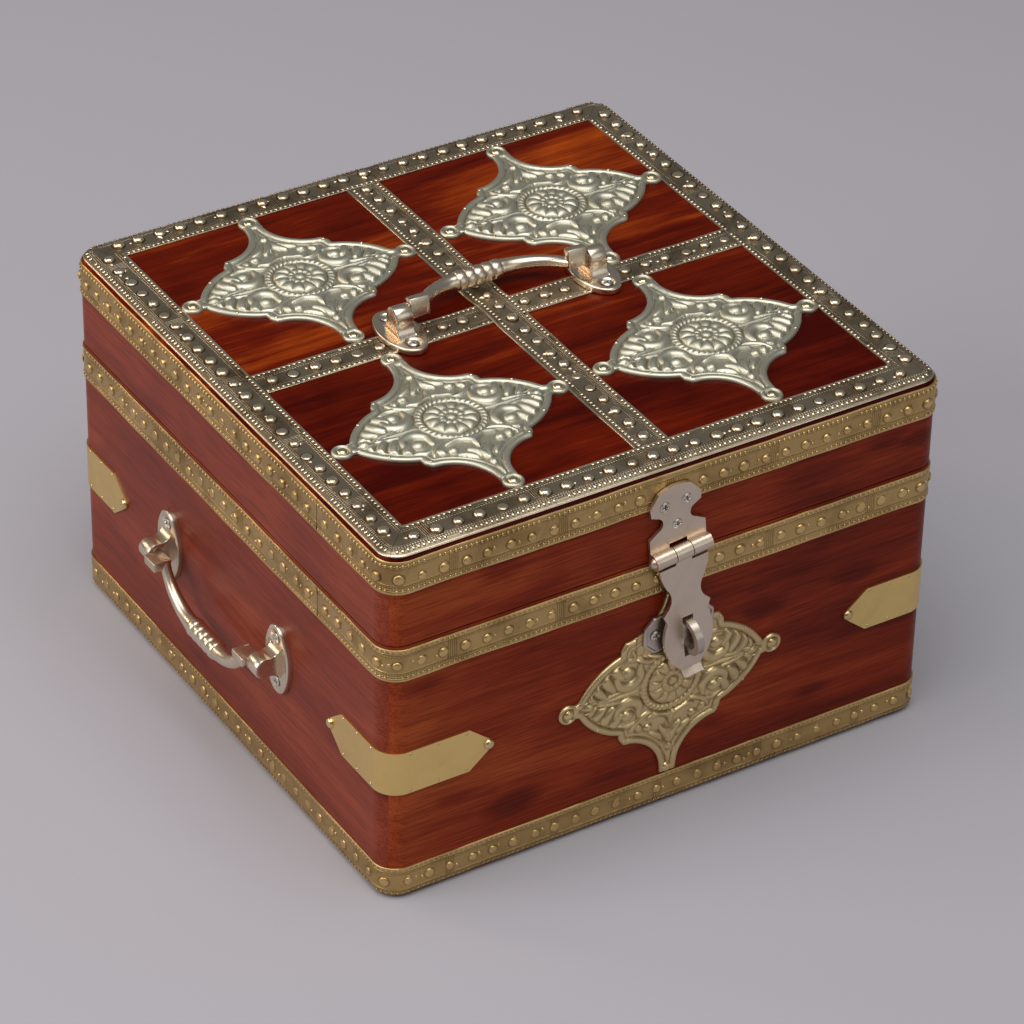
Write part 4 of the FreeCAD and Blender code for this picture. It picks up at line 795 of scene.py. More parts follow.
def through(a: Sequence[float], b: Sequence[float], c: Sequence[float], count: int) -> Array:
    """Points on the circle's arc from a through b to c: centre from the two bisectors.

    Args:
        a: its first point.
        b: a point on it.
        c: its last point.
        count: how many points.

    Returns:
        Points (count, 2).
    """
    (ax, ay), (bx, by), (cx, cy) = a, b, c
    d = 2 * (ax * (by - cy) + bx * (cy - ay) + cx * (ay - by))
    a2, b2, c2 = ax * ax + ay * ay, bx * bx + by * by, cx * cx + cy * cy
    ux = (a2 * (by - cy) + b2 * (cy - ay) + c2 * (ay - by)) / d
    uy = (a2 * (cx - bx) + b2 * (ax - cx) + c2 * (bx - ax)) / d
    radius = math.hypot(ax - ux, ay - uy)
    start, end = math.atan2(ay - uy, ax - ux), math.atan2(cy - uy, cx - ux)
    left = (bx - ax) * (cy - ay) - (by - ay) * (cx - ax) > 0
    sweep = (end - start) % (2 * math.pi)
    if not left:
        sweep -= 2 * math.pi
    turn = start + np.linspace(0, sweep, count)
    return np.stack([ux + radius * np.cos(turn), uy + radius * np.sin(turn)], -1)


def smoothed(points: Sequence[tuple[float, float]], count: int = 24) -> Array:
    """A line through points, by Catmull-Rom: each span is a cubic with neighbours' slopes.

    Args:
        points: what it goes through.
        count: how many points.

    Returns:
        Points (count, 2).
    """
    p = np.array(points, float)
    if len(p) < 3:
        share = np.linspace(0, 1, count)[:, None]
        return p[0] * (1 - share) + p[-1] * share
    padded = np.concatenate([[2 * p[0] - p[1]], p, [2 * p[-1] - p[-2]]])
    t = np.linspace(0, len(p) - 1 - 1e-6, count)
    i = t.astype(int)
    f = (t - i)[:, None]
    a, b, c, d = padded[i], padded[i + 1], padded[i + 2], padded[i + 3]
    return 0.5 * (
        2 * b + (c - a) * f + (2 * a - 5 * b + 4 * c - d) * f**2 + (3 * b - a - 3 * c + d) * f**3
    )


def resampled(points: Array, count: int) -> Array:
    """Evenly spaced points on a closed outline, which keeps its sharpest corners near by.

    Args:
        points: the outline.
        count: how many points.

    Returns:
        Points (count, 2).
    """
    loop = np.concatenate([points, points[:1]])
    run = np.concatenate([[0], np.cumsum(np.hypot(*np.diff(loop, axis=0).T))])
    place = np.linspace(0, run[-1], count, endpoint=False)
    return np.stack([np.interp(place, run, loop[:, 0]), np.interp(place, run, loop[:, 1])], -1)


def eased(x: Array, low: float, high: float) -> Array:
    """A smooth step of an array from 0 at low to 1 at high."""
    t = np.clip((x - low) / (high - low), 0, 1)
    return t * t * (3 - 2 * t)


class Course(Protocol):
    """The path and skin that a strip follows."""

    def frames(self, s: Array, t: Array) -> Frames:
        """Frames at distances s along and t across, from the strip's first edge."""


def plan(s: Array) -> tuple[Array, Array, Array]:
    """The rounded square that the skin follows, by the distance s from the front's middle.

    Each side is a straight run and a quarter circle of radius CORNER. The front's are
    worked out, and then turned by a quarter turn for each side gone by.

    Args:
        s: distances, of any shape.

    Returns:
        Points, outward normals and directions along, each (..., 2).
    """
    run = 2 * (HALF - CORNER)
    lap = run + CORNER * math.pi / 2
    shifted = s + run / 2
    side = np.floor(shifted / lap)
    rest = shifted - side * lap
    bend = np.clip((rest - run) / CORNER, 0, math.pi / 2)
    straight = np.minimum(rest, run) - run / 2
    normal = np.stack([np.sin(bend), -np.cos(bend)], -1)
    ahead = np.stack([np.cos(bend), np.sin(bend)], -1)
    centre = np.stack([straight, np.full_like(s, -(HALF - CORNER))], -1)
    point = centre + CORNER * normal
    turn = side * math.pi / 2
    cos, sin = np.cos(turn), np.sin(turn)

    def spun(v: Array) -> Array:
        """Vectors turned to their own side."""
        return np.stack([v[..., 0] * cos - v[..., 1] * sin, v[..., 0] * sin + v[..., 1] * cos], -1)

    return spun(point), spun(normal), spun(ahead)


PERIMETER = 4 * (2 * (HALF - CORNER) + CORNER * math.pi / 2)


def tilted(points: Array, normals: Array, ahead: Array, drop: Array, z: Array, lean: Array) -> Frames:
    """Frames on the skin: a point of the plan moved in by drop, at height z, leaning by lean.

    Args:
        points: in the plan.
        normals: outwards in the plan.
        ahead: along the plan.
        drop: how far in.
        z: heights.
        lean: angles above level.

    Returns:
        The frames.
    """
    flat = np.zeros_like(z)[..., None]
    out2 = np.concatenate([normals, flat], -1)
    up = np.zeros_like(out2)
    up[..., 2] = 1.0
    origin = np.concatenate([points, z[..., None]], -1) - out2 * drop[..., None]
    cos, sin = np.cos(lean)[..., None], np.sin(lean)[..., None]
    return Frames(
        origin,
        np.concatenate([ahead, flat], -1),
        out2 * sin - up * cos,
        out2 * cos + up * sin,
    )


@dataclass
class RoundCourse:
    """A strip that goes all round: t runs down from its upper edge.

    On the lid it starts on the rounded arris; at the foot it turns in under the chest.
    """

    top: float
    arris_at: Optional[float] = None
    foot: bool = False

    def frames(self, s: Array, t: Array) -> Frames:
        """Frames on the upright face, and on the arcs of radius ARRIS and FOOT.

        Args:
            s: distances round.
            t: distances down.

        Returns:
            The frames.
        """
        z = self.top - t
        drop, lean = np.zeros_like(t), np.zeros_like(t)
        if self.arris_at is not None:
            first = math.asin((self.top - self.arris_at) / ARRIS)
            lean = np.clip(first - t / ARRIS, 0, None)
            z = np.where(
                lean > 0,
                self.arris_at + ARRIS * np.sin(lean),
                self.arris_at - (t - ARRIS * first),
            )
            drop = ARRIS * (1 - np.cos(lean))
        if self.foot:
            turned = np.clip((t - (self.top - FOOT)) / FOOT, 0, None)
            z = np.where(turned > 0, FOOT - FOOT * np.sin(turned), z)
            drop = FOOT * (1 - np.cos(turned))
            lean = -turned
        return tilted(*plan(s), drop, z, lean)


@dataclass
class TrimCourse:
    """A strip along one side of the top, over the arris: t runs out from its inner edge."""

    quarter_turns: int
    reach: float = 20.1
    gap: float = 0.1

    def half_path(self, inset: Array) -> Array:
        """Half the length at an inset: straight, then an eighth of the corner's circle."""
        bent = (HALF - CORNER) + (CORNER - inset) * math.pi / 4
        return np.where(inset < CORNER, bent, HALF - inset) - self.gap

    def inset(self, t: Array) -> tuple[Array, Array]:
        """The inset from the face and the lean of the skin at t.

        Args:
            t: distances from the inner edge.

        Returns:
            Both, for each distance.
        """
        flat = self.reach - ARRIS
        lean = math.pi / 2 - np.clip((t - flat) / ARRIS, 0, None)
        return np.where(t < flat, self.reach - t, ARRIS * (1 - np.cos(lean))), lean

    def frames(self, s: Array, t: Array) -> Frames:
        """Frames on the top and its arris; s is cut off at the mitres.

        Args:
            s: distances from the side's middle.
            t: distances from the inner edge.

        Returns:
            The frames.
        """
        inset, lean = self.inset(t)
        half = self.half_path(inset)
        s = np.clip(s, -half, half)
        straight = HALF - CORNER
        turn = np.where(
            inset < CORNER,
            np.clip(np.abs(s) - straight, 0, None) / np.maximum(CORNER - inset, 0.01),
            0,
        ) * np.sign(s)
        x = np.where(inset < CORNER, np.clip(s, -straight, straight), s)
        normal = np.stack([np.sin(turn), -np.cos(turn)], -1)
        ahead = np.stack([np.cos(turn), np.sin(turn)], -1)
        core = np.stack([x, np.full_like(x, -straight)], -1)
        point = core + normal * CORNER
        angle = self.quarter_turns * math.pi / 2
        spin = np.array([[math.cos(angle), math.sin(angle)], [-math.sin(angle), math.cos(angle)]])
        z = np.where(lean < math.pi / 2, SKIN_TOP - ARRIS + ARRIS * np.sin(lean), SKIN_TOP)
        made = tilted(point @ spin, normal @ spin, ahead @ spin, inset, z, lean)
        made.across = -made.across
        return made


@dataclass
class CrossCourse:
    """A flat strip across the top: t runs across it from its first edge."""

    lengthways: bool
    width: float
    middle: float
    bridged: bool
    step: tuple[float, float] = (8.6, 11.5)

    def frames(self, s: Array, t: Array) -> Frames:
        """Frames on the flat top, raised where the strip steps over the other one.

        Args:
            s: distances from the top's middle.
            t: distances across.

        Returns:
            The frames.
        """
        side = t - self.width / 2 + self.middle
        lift = STRIP_SHEET * (1 - eased(np.abs(s), *self.step)) if self.bridged else 0 * s
        x, y = (s, -side) if self.lengthways else (side, s)
        zero, one = np.zeros_like(x), np.ones_like(x)
        along = [one, zero, zero] if self.lengthways else [zero, one, zero]
        across = [zero, -one, zero] if self.lengthways else [one, zero, zero]
        return Frames(
            np.stack([x, y, SKIN_TOP + lift], -1),
            np.stack(along, -1),
            np.stack(across, -1),
            np.stack([zero, zero, one], -1),
        )


@dataclass(frozen=True)
class Pattern:
    """What is embossed on a strip: rows of beads, a row of bosses and small marks."""

    width: float
    boss_row: float
    bead_rows: Numbers
    boss_radius: float = 2.75
    boss_rise: float = 1.6
    boss_pitch: float = 11.3
    bead_pitch: float = 2.67
    bead_radius: float = 0.86
    bead_rise: float = 0.62
    margin: float = 0.9
    repeat: float = 56.5
    field_drop: float = 0.30


@dataclass
class Strip:
    """One embossed strip: a thin sheet on its course with everything beaten into it."""

    name: str
    course: Course
    pattern: Pattern
    start: float
    end: float
    seed: int
    stations: Array
    clear: Callable[[Array], Array]
    mitred: Optional[TrimCourse] = None
    edge: Table = (
        (0.0, 0.14, 0.42, 0.75, 1.05, 1.5, 2.1, 2.9),
        (-0.42, -0.16, -0.03, -0.03, -0.14, -0.22, -0.27, -0.30),
    )
    edge_margin: float = 0.9
    edge_reach: float = 4.0
    back: float = -0.72
    front_above: float = -0.5
    wander: Table = ((0.16, 17.0, 1.0), (0.12, 7.3, 2.0))
    sag: Table = ((0.05, 5.1, 1.0), (0.05, 11.7, 1.7))
    mitre_room: float = 1.2
    # Darkening of the sheet by how deep its section lies: tarnish with painted shade.
    grime: Table = ((0.03, 0.14, 0.24, 0.42, 0.72), (0.0, 0.28, 0.66, 0.3, 0.5))
    boss: Table = (
        (1.22, -0.2), (1.20, 0.03), (1.06, 0.03), (1.0, 0.10), (0.96, 0.34),
        (0.86, 0.62), (0.68, 0.84), (0.42, 0.96), (0.12, 1.0),
    )
    boss_grime_and_shade: Table = ((0.03, 0.12, 0.45, 0.75), (1.0, 0.85, 0.22, 0.0))
    boss_drift: Numbers = (0.28, 0.18)
    boss_sizes: Numbers = (0.86, 1.08)
    boss_rises: Numbers = (0.75, 1.1)
    faint_share: float = 0.12
    faint_rise: float = 0.45
    dot_grime_and_shade: Table = ((0.0, 0.3, 0.6), (0.9, 0.5, 0.0))
    dot_share: float = 0.42
    dot_along: Numbers = (3.3, 4.6)
    dot_across: Numbers = (-1.4, 1.6)
    dot_sizes: Numbers = (0.75, 1.15)
    dot_rise: float = 0.55
    bead_grime_and_shade: Table = ((0.0, 0.35, 0.6), (1.0, 0.45, 0.0))
    bead_level: float = -0.22
    bead_length: float = 1.22
    bead_sway: Numbers = (0.12, 13.0)
    bead_wear: Numbers = (0.72, 0.28, 31.0)
    blow_gap: float = 5.0
    stray_share: float = 0.15
    wedge: Table = ((1.0, -0.2), (0.8, 0.4), (0.15, 0.9))
    wedge_scale: Numbers = (1.5, 2.3, 0.75)
    wedge_ends: Numbers = (30.0, 6.0)
    wedge_above: float = 2.2

    def sheet(self) -> Shape:
        """The sheet: a section of rolled edges and a lower field, carried along the course.

        The section's height follows the distance from the nearer edge. The whole edge
        wanders and sags a little by two sine waves each, as a hand-cut strip does.

        Returns:
            The closed sheet.
        """
        width, edge = self.pattern.width, np.array(self.edge)
        steps = edge[0] * self.pattern.margin / self.edge_margin
        inner = np.linspace(steps[-1], width - steps[-1], 7)[1:-1]
        t = np.concatenate([steps, inner, (width - steps)[::-1]])
        h = np.concatenate([edge[1], np.full(len(inner), -self.pattern.field_drop), edge[1][::-1]])
        t_all = np.concatenate([t, t[::-1]])
        h_all = np.concatenate([h, np.full(len(t), self.back)])
        s = self.stations[:, None]
        near, far = (np.clip(1 - gap / self.edge_reach, 0, 1) for gap in (t_all, width - t_all))
        t_grid = np.clip(t_all + self._waves(s, self.wander) * np.abs(near - far), 0.02, width - 0.02)
        s_grid = np.repeat(s, len(t_all), axis=1)
        if self.mitred is not None:
            s_grid = s_grid * self.mitred.half_path(self.mitred.inset(t_grid)[0])
        lift = h_all + self._waves(s, self.sag) * (h_all > self.front_above)
        rings = self.course.frames(s_grid, t_grid).lifted(np.broadcast_to(lift, s_grid.shape))
        u = np.concatenate([s_grid, s_grid[:, :1]], axis=1) * MM
        v = np.append(t_all, t_all[0]) * MM
        # The sheet is darker where its section lies below the rolled edges: tarnish and painted shade in the
        # field.
        grime = np.interp(-h_all, *self.grime)
        return skinned(rings, u, v, {"grime": np.broadcast_to(grime, s_grid.shape)})

    def _waves(self, s: Array, waves: Table) -> Array:
        """A sum of sine waves: size times the sine of s / length + shift times the seed."""
        return sum(size * np.sin(s / length + shift * self.seed) for size, length, shift in waves)

    def _kept(self, s: Array, t: Array, level: float) -> tuple[Frames, Array]:
        """Frames at a level, where the places lie on the strip and clear of what covers it.

        Args:
            s: places along.
            t: places across.
            level: their height over the skin.

        Returns:
            The frames that are kept, and the mask that kept them.
        """
        room = np.ones(len(s), bool)
        if self.mitred is not None:
            inset, _ = self.mitred.inset(t)
            room = np.abs(s) < self.mitred.half_path(inset) - self.mitre_room
        made = self.course.frames(s, t)
        room &= self.clear(made.origin)
        made = made.kept(room)
        made.origin = made.lifted(np.full(room.sum(), level))
        return made, room

    def bosses(self, rng: np.random.Generator) -> list[Shape]:
        """Domed bosses in a row, a little uneven, with small dots struck beside some.

        Args:
            rng: the strip's own draws.

        Returns:
            The bosses and the dots.
        """
        p = self.pattern
        s = np.arange(self.start + p.boss_pitch * 0.6, self.end - p.boss_pitch * 0.3, p.boss_pitch)
        count = len(s)
        s = s + rng.normal(0, self.boss_drift[0], count)
        t = np.full(count, p.boss_row) + rng.normal(0, self.boss_drift[1], count)
        size = p.boss_radius * rng.uniform(*self.boss_sizes, count)
        rise = p.boss_rise * rng.uniform(*self.boss_rises, count)
        rise = np.where(rng.random(count) < self.faint_share, rise * self.faint_rise, rise)
        frames, room = self._kept(s, t, -p.field_drop)
        # Each boss darkens towards its foot: partly tarnish, partly a painted ring of shade.
        boss = grimed_and_shaded(lathe(self.boss, 18), *self.boss_grime_and_shade)
        struck = rng.random(count) < self.dot_share
        side = rng.choice([-1.0, 1.0], count)
        ds = s + side * rng.uniform(*self.dot_along, count)
        dt = t + rng.uniform(*self.dot_across, count)
        dots, dots_room = self._kept(ds[struck], dt[struck], -p.field_drop)
        small = rng.uniform(*self.dot_sizes, struck.sum())[dots_room]
        # Each dot darkens towards its foot the same way: partly tarnish, partly painted shade.
        dot = grimed_and_shaded(dome(8, 4), *self.dot_grime_and_shade)
        return [
            scattered(boss, frames, np.stack([size, size, rise], -1)[room]),
            scattered(dot, dots, np.stack([small, small, small * self.dot_rise], -1)),
        ]

    def beads(self, rng: np.random.Generator) -> list[Shape]:
        """Rows of oval beads that stop short where one blow of the die meets the next.

        Args:
            rng: the strip's own draws.

        Returns:
            A shape for each row.
        """
        p = self.pattern
        # Each bead darkens towards its foot: partly tarnish, partly painted shade between the beads.
        unit = grimed_and_shaded(dome(8, 4), *self.bead_grime_and_shade)
        made = []
        for row, level in enumerate(p.bead_rows):
            s = np.arange(self.start + 1.0, self.end - 0.6, p.bead_pitch)
            shift = rng.uniform(0, p.repeat)
            in_blow = np.mod(s + shift, p.repeat)
            s = s[(in_blow > self.blow_gap) | (rng.random(len(s)) < self.stray_share)]
            t = np.full(len(s), level) + self.bead_sway[0] * np.sin(s / self.bead_sway[1] + row)
            frames, room = self._kept(s, t, self.bead_level)
            least, swing, length = self.bead_wear
            worn = least + swing * np.sin(s[room] / length + self.seed + row)
            size = p.bead_radius * np.ones(room.sum())
            scale = np.stack([size, size * self.bead_length, p.bead_rise * (0.6 + 0.4 * worn)], -1)
            made.append(scattered(unit, frames, scale))
        return made

    def wedges(self) -> list[Shape]:
        """Small pointed marks between the blows of the die.

        Returns:
            One shape.
        """
        p = self.pattern
        s = np.arange(self.start + self.wedge_ends[0], self.end - self.wedge_ends[1], p.repeat)
        t = np.full(len(s), p.boss_row - self.wedge_above)
        frames, room = self._kept(s, t, -p.field_drop)
        scale = np.array(self.wedge_scale) * np.ones((room.sum(), 3))
        return [scattered(lathe(self.wedge, 4), frames, scale)]

    def shape(self) -> Shape:
        """The whole strip."""
        rng = np.random.default_rng(self.seed)
        return Shape.join([self.sheet(), *self.bosses(rng), *self.beads(rng), *self.wedges()])


@dataclass
class StripWork:
    """All the embossed strips: three round the chest, four trims and the cross."""

    seam: float = 973.0
    hidden_seam: float = 560.0
    seam_gap: float = 0.25
    ears: tuple[tuple[float, float], ...] = ()
    ear_room: float = 6.2
    pad_middle: tuple[float, float] = (53.1, 3.5)
    pad_room: tuple[float, float] = (12.4, 20.4)
    cross_end: float = HALF - 20.2
    cross_room: float = 10.0
    trim_end: float = 148.0

    side: Pattern = Pattern(17.4, 8.7, (1.65, 15.8), 2.5, 1.15, bead_radius=0.74, bead_rise=0.45)
    lid: Pattern = Pattern(17.5, 9.7, (2.7, 15.9), 2.5, 1.35, bead_radius=0.80, bead_rise=0.58)
    low: Pattern = Pattern(18.6, 8.2, (1.6, 14.6), 2.4, 0.9, bead_radius=0.6, bead_rise=0.35)
    trim: Pattern = Pattern(19.26, 9.7, (1.6, 16.3), 2.8, 1.75)
    lengthways: Pattern = Pattern(17.0, 8.6, (1.6, 15.4), 2.7, 1.65)
    crossways: Pattern = Pattern(18.4, 9.4, (3.4, 16.8), 2.7, 1.65)
    lid_arris: float = 185.0
    cross_middle: float = -0.35
    hasp_room: Numbers = (-0.6, 15.5, 150.0, -140.0)

    def _round(self, name: str, course: RoundCourse, pattern: Pattern, seam: float, seed: int) -> Strip:
        """A strip that goes all round from its seam.

        Args:
            name: its name.
            course: where it runs.
            pattern: what is beaten into it.
            seam: where its ends meet.
            seed: of its draws.

        Returns:
            The strip.
        """
        lap = PERIMETER / 4
        bend = (HALF - CORNER) + np.linspace(0, CORNER * math.pi / 2, 11)
        bends = np.concatenate([side * lap + bend for side in range(-1, 5)])
        runs = np.arange(-PERIMETER, 2 * PERIMETER, 4.2)
        inside = np.mod(runs + HALF - CORNER, lap) < 2 * (HALF - CORNER)
        start, end = seam + self.seam_gap, seam + PERIMETER - self.seam_gap
        every = np.concatenate([runs[inside], bends, bends + PERIMETER, [start, end]])
        stations = np.unique(np.round(every[(every >= start) & (every <= end)], 3))
        return Strip(name, course, pattern, start, end, seed, stations, self._off_hasp)

    def _off_hasp(self, points: Array) -> Array:
        """Clear of the hasp's upper plate."""
        (x, y, z), (middle, half, low, front) = points.T, self.hasp_room
        return ~((np.abs(x - middle) < half) & (z > low) & (y < front))

    def _off_top(self, points: Array) -> Array:
        """Clear of the ornaments' ears and of the handle's pads.

        Args:
            points: places on the skin.

        Returns:
            True where they are clear.
        """
        free = np.ones(len(points), bool)
        for x, y in self.ears:
            free &= np.hypot(points[:, 0] - x, points[:, 1] - y) > self.ear_room
        (x, y), (across, along) = self.pad_middle, self.pad_room
        for side in (-1, 1):
            free &= np.hypot((points[:, 0] - side * x) / across, (points[:, 1] - y) / along) > 1
        return free

    def _off_crossing(self, points: Array) -> Array:
        """Clear of the strip that steps over it too."""
        return self._off_top(points) & (np.abs(points[:, 0] - self.cross_middle) > self.cross_room)

    def _trims(self) -> Iterable[tuple[Strip, str]]:
        """The four strips over the top edge, with their nodes.

        Returns:
            Pairs of a strip and its node's name.
        """
        corners = np.linspace(0.93, 1.0, 9)
        every = np.concatenate([np.linspace(-1, 1, 71), corners, -corners])
        stations, end = np.unique(np.round(every, 5)), self.trim_end
        for turns, word in enumerate(("front", "right", "back", "left")):
            course = TrimCourse(turns)
            place = (-end, end, 41 + turns, stations, self._off_top, course)
            yield Strip(f"trim_strip_{word}", course, self.trim, *place), f"top_trim_{word}"

    def _cross(self) -> Iterable[tuple[Strip, str]]:
        """The two strips of the cross, with their nodes.

        Returns:
            Pairs of a strip and its node's name.
        """
        end = self.cross_end
        stations = np.linspace(-end, end, 75)
        for name, node, pattern, middle, seed, clear in (
            ("lengthways", "side_to_side", self.lengthways, 0.0, 53, self._off_crossing),
            ("crossways", "front_to_back", self.crossways, self.cross_middle, 59, self._off_top),
        ):
            course = CrossCourse(name == "lengthways", pattern.width, middle, name == "crossways")
            strip = Strip(f"cross_strip_{name}", course, pattern, -end, end, seed, stations, clear)
            yield strip, f"cross_strip_{node}"

    def build(self) -> None:
        """Make every strip and put it in place of its node."""
        lid = RoundCourse(188.5, arris_at=self.lid_arris)
        low = RoundCourse(17.7, foot=True)
        for name, course, pattern, body, node, seed, seam in (
            ("lid", lid, self.lid, "lid", "lid_side_band", 11, self.seam),
            ("mid", RoundCourse(141.1), self.side, "carcass", "mid_band", 23, self.seam),
            ("bottom", low, self.low, "carcass", "bottom_band", 37, self.hidden_seam),
        ):
            strip = self._round(f"{name}_band_strip", course, pattern, seam, seed)
            piece(strip.name, strip.shape(), Finish.SIDE_STRIP, body, "strip_brass", [node])
        for strip, node in (*self._trims(), *self._cross()):
            piece(strip.name, strip.shape(), Finish.TOP_STRIP, "lid", "strip_brass", [node])


@dataclass(frozen=True)
class Stroke:
    """A raised stroke along a smooth line, as wide as given at its ends and middle."""

    line: tuple[tuple[float, float], ...]
    width: float
    rise: float
    start: float = 0.35
    end: float = 0.35

    def height(self, x: Array, y: Array) -> Array:
        """rise times (1 - (d / w) squared) to the 0.6, by the distance d from the line.

        Args:
            x: across the plate.
            y: up the plate.

        Returns:
            Heights.
        """
        nodes = smoothed(self.line, 22)
        start, step = nodes[:-1], np.diff(nodes, axis=0)
        length = (step**2).sum(-1)
        best, half = np.full(x.shape, FAR), np.full(x.shape, 1.0)
        for number, ((ax, ay), (sx, sy)) in enumerate(zip(start, step)):
            share = np.clip(((x - ax) * sx + (y - ay) * sy) / length[number], 0, 1)
            gap = np.hypot(x - ax - share * sx, y - ay - share * sy)
            place = (number + share) / len(start)
            belly = np.sin(np.pi * np.clip(place, 0, 1)) ** 0.8
            ends = self.start * (1 - place) + self.end * place
            width = self.width * (ends + (1 - ends) * belly)
            nearer = gap / width < best
            best = np.where(nearer, gap / width, best)
            half = np.where(nearer, width, half)
        body = np.clip(1 - best**2, 0, None) ** 0.6
        return self.rise * body * np.clip(half / self.width, 0.4, 1) ** 0.5


@dataclass(frozen=True)
class Ball:
    """A raised oval ball."""

    centre: tuple[float, float]
    across: float
    along: float
    rise: float
    turn: float = 0.0

    def height(self, x: Array, y: Array) -> Array:
        """rise times (1 - rho squared) to the 0.55, by the oval's own distance rho.

        Args:
            x: across the plate.
            y: up the plate.

        Returns:
            Heights.
        """
        angle = math.radians(self.turn)
        dx, dy = x - self.centre[0], y - self.centre[1]
        u = dx * math.cos(angle) + dy * math.sin(angle)
        v = -dx * math.sin(angle) + dy * math.cos(angle)
        rho = (u / self.across) ** 2 + (v / self.along) ** 2
        return self.rise * np.clip(1 - rho, 0, None) ** 0.55


@dataclass
class Ornament:
    """A lobed plate in raised work, made flat at the origin and set on its frame."""

    half: float = 56.0
    stub: float = 2.5
    level: float = 0.9
    back: float = 0.06
    angles: int = 640
    rings: int = 92
    neck: tuple[tuple[float, float], ...] = ((0.082, 0.925), (0.160, 0.680), (0.395, 0.528))
    tab: tuple[tuple[float, float], ...] = ((0.455, 0.520), (0.500, 0.452))
    lobe: tuple[tuple[float, float], ...] = ((0.505, 0.403), (0.740, 0.270), (0.905, 0.062))

    ear: Table = (
        (0.05, 1.0, 0.9), (1.6, 1.0, 0.9), (2.9, 1.0, 0.9), (3.2, 1.08, 0.85), (3.5, 1.45, 0.5),
        (3.8, 1.85, 0.3), (4.15, 2.0, 0.2), (4.5, 1.9, 0.3), (4.85, 1.6, 0.4), (5.1, 1.2, 0.5),
        (5.2, 0.8, 0.6), (5.2, 0.06, 0.8),
    )

    def quarter(self) -> Array:
        """One quarter of the outline, from the neck's foot round to the lobe's end."""
        neck, lobe = through(*self.neck, 22), through(*self.lobe, 22)
        return np.concatenate([neck, np.array(self.tab), lobe]) * self.half

    def reach(self, angle: Array, low: float, high: float) -> Array:
        """How far the outline lies out at each angle, between two cuts across the neck.

        Args:
            angle: angles round the middle.
            low: the height of the lower cut.
            high: the height of the upper cut.

        Returns:
            Distances.
        """
        q = self.quarter()
        turn, far = np.arctan2(q[:, 1], q[:, 0]), np.hypot(q[:, 0], q[:, 1])
        fold = np.arctan2(np.abs(np.sin(angle)), np.abs(np.cos(angle)))
        side, stub = np.interp(fold, turn[::-1], far[::-1]), self.half - self.stub
        side = np.where(fold < turn[-1], stub / np.maximum(np.cos(fold), 0.05), side)
        side = np.where(fold > turn[0], stub / np.maximum(np.sin(fold), 0.05), side)
        up = np.sin(angle)
        cut = np.where(up > 0, high, -low) / np.maximum(np.abs(up), 1e-3)
        return np.minimum(side, cut)

    def features(self) -> list[Union[Stroke, Ball]]:
        """The leaves, scrolls, fingers and berries of one quarter.

        Returns:
            Strokes and balls.
        """
        return [
            Ball((24.2, 12.4), 3.6, 3.2, 2.0),
            Stroke(((17.6, 14.6), (17.8, 8.2), (23.0, 4.4), (28.8, 6.4), (30.4, 11.6)), 3.0, 1.95, 0.4, 0.3),
            Stroke(((19.4, 17.6), (23.6, 19.0), (28.0, 17.4)), 1.5, 1.0),
            Stroke(((27.4, 10.4), (30.6, 14.4), (31.6, 18.8)), 2.6, 1.75, 0.6, 0.5),
            Stroke(((32.0, 5.2), (35.2, 9.6), (36.8, 14.6)), 2.7, 1.8, 0.6, 0.5),
            Stroke(((36.6, 3.0), (39.8, 6.4), (41.8, 10.4)), 2.3, 1.6, 0.6, 0.5),
            Stroke(((41.4, 1.4), (43.6, 3.6), (44.8, 6.4)), 1.6, 1.2, 0.6, 0.5),
            Stroke(((17.8, 0.0), (30.0, 0.0), (40.0, 0.0)), 1.1, 0.8, 0.6, 0.3),
            Stroke(((27.0, 3.0), (33.0, 2.2), (40.0, 0.8)), 1.2, 0.9, 0.5, 0.3),
            Ball((45.0, 0.0), 2.6, 2.0, 1.5),
            Stroke(((0.4, 46.0), (5.4, 39.4), (13.0, 32.6), (22.0, 26.8)), 1.1, 0.7, 0.5, 0.5),
            Ball((0.0, 38.8), 1.9, 2.2, 1.5),
            Stroke(((0.2, 35.6), (1.8, 30.4), (5.2, 26.0)), 2.4, 1.75, 0.4, 0.5),
            Stroke(((4.6, 33.0), (7.2, 29.6), (10.8, 27.4)), 2.0, 1.5, 0.4, 0.5),
            Ball((12.2, 23.6), 2.4, 2.3, 1.75),
            Ball((17.4, 22.2), 2.0, 3.0, 1.6, 20.0),
            Stroke(((-0.4, 25.0), (0.6, 19.6), (5.8, 16.6), (12.4, 18.0)), 2.5, 1.85, 0.4, 0.4),
            Stroke(((9.0, 14.6), (13.8, 15.2), (18.8, 18.4), (21.4, 22.8)), 1.7, 1.35, 0.4, 0.4),
            Ball((0.0, 17.8), 1.5, 1.2, 1.1),
        ]

    def medallion(self, r: Array, turn: Array) -> Array:
        """The middle: a slanted rope ring, petals, a ring of small balls and a knob.

        Each is a half circle of the distance from its own radius: the square root of
        1 - (distance / half width) squared, waved round the middle by a cosine.

        Args:
            r: distances from the middle.
            turn: angles round it.

        Returns:
            Heights.
        """

        def bulge(radius: float, width: float) -> Array:
            """A half circle about a radius."""
            return np.clip(1 - ((r - radius) / width) ** 2, 0, None) ** 0.5

        ring = 1.35 * bulge(15.2, 1.9) * (0.84 + 0.16 * np.cos(36 * turn + 1.1 * (r - 15.2)))
        petals = bulge(8.9, 3.9) * (1.15 + 1.15 * np.abs(np.cos(6.0 * turn)) ** 0.5)
        balls = bulge(4.6, 1.5) * (0.45 + 0.55 * np.abs(np.cos(5.5 * turn)) ** 0.6)
        inner = 1.25 * (1 - eased(r, 5.9, 6.9)) + 0.8 * balls + bulge(0.0, 2.3)
        return np.maximum(ring, np.maximum(inner, petals))

